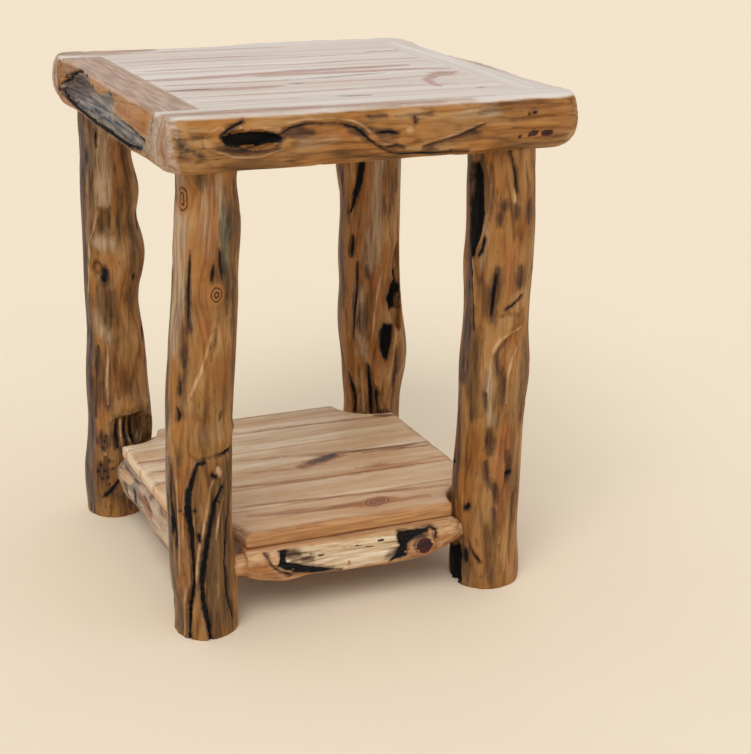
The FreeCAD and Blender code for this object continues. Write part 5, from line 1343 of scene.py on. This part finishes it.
# Stretchers: planed flat where the shelf lies
stretcherRelief = {"stretch": 9, "swell": 1.2, "swellSize": 34, "furrow": 0.45, "furrowSize": 15,
                   "fibre": 0.2, "fibreSize": 4.5, "coarseMesh": 2.4, "fineMesh": 1.6}
stretcherPlanes = [(2, 95)]
stretcherSettings = {
    "front": {"grain": "x", "seed": 31, "pith": (0, -208, 72), "wood": "stretcherWood", "faces": {
        "front": [
            ("worn", [(-114, 93), (-61, 93), (-4, 92), (48, 90), (54, 85), (56, 64), (40, 56), (-3, 55),
                      (-41, 55), (-66, 60), (-117, 76)]),
            # Black painted shade at the two ends of the worn recess
            ("blackened", [(-117, 76), (-113, 86), (-111, 93), (-102, 92), (-106, 84), (-104, 79),
                           (-89, 73), (-66, 65), (-30, 55), (-66, 57), (-94, 65)]),
            ("blackened", [(47, 92), (92, 92), (86, 87), (66, 85), (58, 76), (56, 62), (34, 55), (44, 66),
                           (50, 74), (45, 85)]),
            ("stain", 13, [(-108, 88), (-88, 86)]),
            ("stain", 9, [(-84, 80), (-70, 76)]),
            ("stain", 8, [(30, 62), (44, 66)]),
            ("shade", 12, [(-106, 88), (-84, 84)]),
            ("ridge", 4, [(-124, 92), (-121, 80)]),
            # painted highlight on the ridge
            ("pale", 10, [(-122, 90), (-120, 80)]),
            ("furrow", 5, [(-131, 92), (-126, 78), (-114, 66), (-96, 59)]),
            ("crack", 2.2, [(-128, 88), (-124, 79), (-115, 69), (-100, 61)]),
            ("red", 18, [(-150, 78), (-134, 74), (-116, 62)]),
            ("lobe", 32, [(76, 74), (88, 72)]),
            ("burl", [(70, 72), (71.5, 78), (75, 82), (80, 83.5), (86, 82), (90, 78), (91.5, 73),
                      (90.5, 68), (86, 64), (80, 62.5), (74, 64.5), (70.8, 68)]),
            ("ridge", 3.0, [(70, 87), (65, 80), (64, 70), (69, 61)]),
            ("stain", 6, [(70, 66), (68, 74), (72, 82), (80, 85)]),
            ("red", 16, [(64, 82), (64, 66), (80, 57), (98, 64), (99, 78)]),
            ("crack", 2.8, [(92, 92), (99, 87), (97, 80)]),
            ("stain", 6, [(94, 86), (96, 76)]),
            ("pale", 12, [(116, 84), (140, 80)]),
            ("red", 14, [(112, 66), (150, 66)]),
            ("pale", 14, [(-160, 84), (-142, 88)]),
            ("dash", 1.5, [(-88, 85), (-80, 86)]),
            ("dash", 1.4, [(-74, 84), (-66, 84)]),
            ("dash", 1.3, [(-62, 79), (-54, 79)]),
            ("dash", 1.4, [(-12, 84), (-2, 83)]),
            ("dash", 1.3, [(4, 79), (14, 78)]),
            ("dash", 1.2, [(-34, 72), (-26, 72)]),
            ("dash", 1.2, [(-80, 78), (-74, 77)]),
            ("dash", 1.3, [(20, 86), (27, 85)]),
        ],
        "top": [("pale", 10, [(-150, -222), (150, -222)])],
    }},
    "back": {"grain": "x", "seed": 36, "pith": (0, 182, 72), "wood": "stretcherWood", "faces": {
        "back": [
            ("knot", 18, [(-60, 74)]),
            ("crack", 2.2, [(-20, 82), (60, 78)]),
            ("stain", 9, [(90, 70), (120, 72)]),
            ("red", 14, [(-40, 66), (40, 64)]),
            ("shade", 9, [(20, 84), (110, 82)]),
        ],
    }},
    "left": {"grain": "y", "seed": 41, "pith": (-189, 0, 66), "wood": "peeledWood", "faces": {
        "left": [
            ("shade", 16, [(96, 72), (84, 66)]),
            ("stain", 9, [(90, 72), (82, 66)]),
            ("pale", 12, [(120, 80), (70, 84)]),
            ("crack", 3.4, [(58, 78), (44, 70), (34, 62)]),
            ("crack", 2.6, [(44, 70), (54, 60)]),
            ("crack", 2.2, [(34, 62), (16, 58)]),
            ("red", 10, [(30, 82), (0, 78), (-40, 76)]),
            ("shade", 10, [(60, 50), (20, 46), (-40, 44)]),
            ("grey", 18, [(20, 66), (-40, 62), (-110, 60)]),
            ("furrow", 5, [(20, 84), (-30, 80), (-90, 80)]),
            ("ridge", 4, [(10, 70), (-50, 68), (-110, 70)]),
            ("bleach", 16, [(130, 70), (110, 66)]),
            ("stain", 6, [(-90, 54), (-50, 50)]),
        ],
    }},
    "right": {"grain": "y", "seed": 47, "pith": (175, 0, 66), "wood": "stretcherWood", "faces": {
        "right": [
            ("knot", 18, [(40, 68)]),
            ("crack", 2.4, [(-60, 76), (0, 72)]),
            ("stain", 9, [(-100, 60), (-70, 58)]),
            ("groove", 5.0, [(90, 66), (120, 72)]),
            ("red", 14, [(-20, 58), (60, 56)]),
            ("shade", 10, [(-120, 80), (-60, 84)]),
        ],
    }},
}


def makeStretcher(side, settings):
    node = "stretcher_" + side
    piece = copyOfNode(node, "stretcher_log_" + side)
    dressLog(piece, {**stretcherRelief, **settings}, faceLayouts(settings), stretcherPlanes)
    piece.data.materials.append(bpy.data.materials[settings["wood"]])
    bpy.ops.object.shade_smooth_by_angle(angle=math.radians(55))
    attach(piece, "root")
    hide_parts(node)


for side, settings in stretcherSettings.items():
    makeStretcher(side, settings)
    print("stretcher", side, "dressed")


# Boards of the top: marks in mm as seen from above. Tones is how warm each board is, heart how far
# below its upper face the heart of its log lies, in mm.
topMarks = [
    ("heart", 24, [(-203, -11), (-141, -12), (-94, -8), (2, 0), (80, 4), (150, 6)]),
    ("heart", 18, [(-60, -20), (0, -20), (80, -24), (152, -28), (190, -40)]),
    ("heart", 18, [(-200, -92), (-115, -101), (-60, -100)]),
    ("stain", 5, [(-200, -91), (-176, -90), (-150, -93)]),
    ("stain", 4, [(-40, -57), (14, -57), (63, -48), (99, -44)]),
    ("stain", 3.4, [(-44, -86), (-30, -88)]),
    ("heart", 6, [(-34, -88), (72, -92), (136, -84)]),
    ("heart", 8, [(-190, -55), (-25, -62)]),
    ("stain", 3.2, [(150, 132), (198, 130)]),
    ("heart", 8, [(0, 54), (117, 66), (190, 57)]),
    ("heart", 8, [(-196, 61), (-93, 64), (2, 63)]),
    ("heart", 8, [(-190, 143), (-113, 148), (20, 144)]),
    ("stain", 3.6, [(-23, -188), (-10, -191), (15, -193)]),
    ("heart", 4, [(-194, -177), (-134, -182), (-71, -186)]),
    ("heart", 16, [(124, -114), (146, -88), (168, -72), (190, -64)]),
    ("heart", 11, [(126, -112), (120, -140), (119, -164)]),
    ("heart", 6, [(150, -60), (170, -64), (192, -84)]),
    ("knot", 22, [(162, -76), (170, -72)]),
    ("stain", 4, [(150, -80), (161, -73), (184, -68)]),
    ("stain", 3, [(157, -186), (166, -187)]),
    ("heart", 6, [(-200, 112), (-100, 118), (20, 114), (150, 118)]),
    ("heart", 5, [(-196, -140), (-60, -146), (60, -142), (150, -146)]),
]
topBoards = {"thick": 22, "step": 2.6, "bevel": 0.45, "tones": (0.05, 0.1, 0.3, 0.1, 0.0, 0.2, 0.25),
             "heart": (35, 22, 60, 28, 44, 20, 52)}


# A top board: a grid of the board's size, given its thickness and eased edges
def makeTopBoard(number):
    node = "top_board_%d" % (number + 1)
    low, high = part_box(node)
    wide, deep = high[0] - low[0], high[1] - low[1]
    deselectAll()
    bpy.ops.mesh.primitive_grid_add(x_subdivisions=max(2, round(wide * 1000 / topBoards["step"])),
                                    y_subdivisions=max(2, round(deep * 1000 / topBoards["step"])), size=1,
                                    location=((low[0] + high[0]) / 2, (low[1] + high[1]) / 2, high[2]))
    piece = bpy.context.object
    piece.name = "panel_board_%d" % (number + 1)
    piece.scale = (wide, deep, 1)
    bpy.ops.object.transform_apply(location=True, rotation=True, scale=True)
    solid = piece.modifiers.new("thickness", "SOLIDIFY")
    solid.thickness = topBoards["thick"] / 1000
    solid.offset = -1
    bpy.ops.object.modifier_apply(modifier=solid.name)
    bevel = piece.modifiers.new("easedEdges", "BEVEL")
    bevel.width = topBoards["bevel"] / 1000
    bevel.segments = 2
    bevel.limit_method = "ANGLE"
    bpy.ops.object.modifier_apply(modifier=bevel.name)
    paintBoard(piece, topBoards, number, topMarks)
    piece.data.materials.append(topWood)
    bpy.ops.object.shade_smooth_by_angle(angle=math.radians(40))
    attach(piece, "root")
    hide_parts(node)


# Each board is cut from another place of its log, in metres: every third one to the same side, and
# each one further along
cutting = {"aside": 0.02, "along": 0.53}

# The shelf's tan edges, in mm: how far in they reach, how much and over what length that wanders, how
# fully the sides are tan, and how much less there is at the left
tanRim = {"reach": 8, "wander": 5, "size": 30, "sides": 20, "leftSide": 14, "leftReach": 26, "leftLess": 4}


# Masks, grain and tone of a board
def paintBoard(piece, settings, number, marks):
    points, normals = readMesh(piece)
    layout = {**sides["top"], "grain": 0}
    _, masks, bend = markField(points, normals, layout, marks, False)
    if "rim" in settings:    # the shelf boards turn tan near their outer edges, least at the left
        left, right, front, back = settings["rim"]
        along, across = points[:, 0] * 1000, points[:, 1] * 1000
        gap = np.minimum.reduce((along - left, right - along, across - front, back - across))
        edge = tanRim["reach"] - gap + noiseAt(points, tanRim["size"], (3, 1, 1)) * tanRim["wander"]
        masks["tan"] = np.maximum(edge, (0.85 - normals[:, 2]) * tanRim["sides"])
        masks["tan"] -= np.clip(-normals[:, 0], 0, 1) * tanRim["leftSide"]
        masks["tan"] -= smooth(left + tanRim["leftReach"] - along, 0, 20) * tanRim["leftLess"]
    grain = points + bend
    grain[:, 1] -= points[:, 1].mean()
    grain[:, 2] -= points[:, 2].max() - settings["heart"][number] / 1000
    grain[:, 1] += (number % 3 - 1) * cutting["aside"]
    grain[:, 0] += number * cutting["along"]
    grain = grain[:, grainOrders["x"]]
    ends = np.abs(normals[:, 0]) > 0.8
    grain[ends] = points[ends][:, (0, 2, 1)]
    writeValues(piece, "grain", grain, "FLOAT_VECTOR", "vector")
    writeValues(piece, "tone", np.full(len(points), settings["tones"][number]))
    writeMasks(piece, masks)


for number in range(len(topBoards["tones"])):
    makeTopBoard(number)
print("top boards made")

# Boards of the shelf, in the same terms. Rim is the shelf's edges, copes the middle and reach of each
# corner's cope, seams where boards meet, all in mm.
shelfMarks = [
    ("heart", 6, [(-60, 168), (36, 170), (120, 168)]),
    ("heart", 7, [(-53, 114), (113, 108), (170, 104)]),
    ("stain", 3.2, [(58, -6), (124, -12), (192, -12)]),
    ("stain", 3.0, [(90, -16), (150, -20), (190, -24)]),
    ("heart", 8, [(-17, 8), (48, 0), (124, -12), (196, -12)]),
    ("red", 26, [(-6, -34), (20, -24), (60, -8)]),
    ("stain", 18, [(6, -28), (28, -20), (48, -10)]),
    ("slate", 10, [(20, -22), (36, -16), (48, -10)]),
    ("heart", 13, [(-14, -34), (10, -30)]),
    ("heart", 9, [(-150, -62), (-113, -68), (-16, -78), (84, -80), (178, -82)]),
    ("tan", 44, [(-60, -50), (40, -50), (120, -52), (190, -50)]),
    ("tan", 26, [(60, -116), (120, -120), (190, -118)]),
    ("red", 10, [(60, -64), (120, -70), (180, -68)]),
    ("heart", 7, [(-137, -129), (-40, -140), (60, -150), (147, -160)]),
    ("red", 20, [(16, -180), (41, -177), (72, -172)]),
    ("heart", 26, [(26, -180), (52, -174)]),
    ("knot", 19, [(33, -179), (48, -175)]),
    ("slate", 4.5, [(38, -178), (44, -176)]),
    ("heart", 14, [(-128, -161), (-37, -172), (109, -184)]),
    ("heart", 11, [(-82, -212), (-66, -212), (-50, -211)]),
    ("stain", 6, [(-156, -196), (-154, -214)]),
    ("red", 16, [(-156, -180), (-150, -208)]),
    ("heart", 5, [(-83, 18), (-25, 8)]),
    ("heart", 6, [(-97, -25), (-24, -37)]),
    ("red", 12, [(-205, 60), (-150, 52), (-100, 50)]),
    ("stain", 3, [(-200, 20), (-150, 14)]),
    ("red", 12, [(-204, -20), (-160, -30), (-120, -34)]),
    ("stain", 12, [(164, 110), (186, 104)]),
]
shelfBoards = {"tones": (0.4, 0.08, 0.35, 0.0, 0.0, 0.08), "heart": (30, 55, 26, 40, 60, 34),
               "rim": (-211, 197, -215, 177), "seams": (-144, -80.5, -19.5, 41.4, 110),
               "copes": ((-199, -208, 48), (185, -208, 54), (-199, 182, 52), (185, 182, 62)),
               "mesh": 2.2, "eased": 0.35, "rubs": 26}


# The outer arrises of the shelf and of its copes
def shelfArris(points):
    left, right, front, back = shelfBoards["rim"]
    along, across = points[:, 0], points[:, 1]
    outer = np.minimum.reduce((along - left, right - along, across - front, back - across)) < 9
    for middle, depth, reach in shelfBoards["copes"]:
        outer |= np.hypot(along - middle, across - depth) < reach + 8
    return outer


# Shelf boards keep the shape of their nodes, with softer arrises
def makeShelfBoard(number):
    node = "shelf_board_%d" % (number + 1)
    low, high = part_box(node)
    piece = copyOfNode(node, "shelf_plank_%d" % (number + 1))
    remesh(piece, shelfBoards["mesh"])
    planes = [(axis, place * 1000) for corner in (low, high) for axis, place in enumerate(corner)]
    flatten(piece, planes, shelfBoards["mesh"], shelfBoards["eased"])
    before, _ = readMesh(piece)
    rubDown(piece, shelfArris(before * 1000), shelfBoards["rubs"])
    points, _ = readMesh(piece)
    for seam in shelfBoards["seams"]:    # the sides that meet stay upright
        meets = np.abs(before[:, 1] * 1000 - seam) < 0.5
        points[meets, 1] = before[meets, 1]
    writePoints(piece, points)
    paintBoard(piece, shelfBoards, number, shelfMarks)
    piece.data.materials.append(shelfWood)
    bpy.ops.object.shade_smooth_by_angle(angle=math.radians(40))
    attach(piece, "root")
    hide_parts(node)


for number in range(len(shelfBoards["tones"])):
    makeShelfBoard(number)
print("shelf boards made")

# Dowels and screws keep their own meshes
for node, material in (("rail_dowels", dowelWood), ("shelf_dowels", dowelWood),
                       ("top_board_screws", screwSteel), ("leg_screws", screwSteel)):
    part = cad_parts[node]
    part.data.materials.clear()
    part.data.materials.append(material)
print("fasteners finished")

# Stage and light
studio = {"floor": colour(246, 230, 204), "mottle": colour(236, 218, 190),
          "backdrop": colour(238, 223, 197), "size": 60, "sky": 0.72, "sun": 1.1, "sunTurn": -38,
          "sunTilt": 42, "sunSoft": 34}


def makeStage():
    deselectAll()
    bpy.ops.mesh.primitive_plane_add(size=studio["size"])
    floor = bpy.context.object
    floor.name = "floor"
    material, tree, surface = newMaterial("floorPaper")
    place = tree.nodes.new("ShaderNodeTexCoord").outputs["Object"]
    mottle = stepNode(tree, noiseNode(tree, place, 6.0, 3, 0.5), 0.35, 0.65, 0.06)
    paper = mixNode(tree, mottle, studio["floor"], studio["mottle"])
    wire(tree, surface.inputs["Base Color"], paper)
    surface.inputs["Roughness"].default_value = 0.95
    floor.data.materials.append(material)
    world = bpy.data.worlds.new("studio")
    scene.world = world
    world.use_nodes = True
    tree = world.node_tree
    sky = tree.nodes["Background"]
    sky.inputs["Color"].default_value = (1, 1, 1, 1)
    sky.inputs["Strength"].default_value = studio["sky"]
    seen = tree.nodes.new("ShaderNodeBackground")
    seen.inputs["Color"].default_value = studio["backdrop"]
    light = tree.nodes.new("ShaderNodeLightPath")
    mix = tree.nodes.new("ShaderNodeMixShader")
    wire(tree, mix.inputs[0], light.outputs["Is Camera Ray"])
    tree.links.new(sky.outputs[0], mix.inputs[1])
    tree.links.new(seen.outputs[0], mix.inputs[2])
    tree.links.new(mix.outputs[0], tree.nodes["World Output"].inputs[0])
    lamp = bpy.data.lights.new("sun", "SUN")
    lamp.energy = studio["sun"]
    lamp.angle = math.radians(studio["sunSoft"])
    sun = bpy.data.objects.new("sun", lamp)
    bpy.context.collection.objects.link(sun)
    sun.rotation_euler = (math.radians(studio["sunTilt"]), 0, math.radians(studio["sunTurn"]))


makeStage()
print("stage and light set")
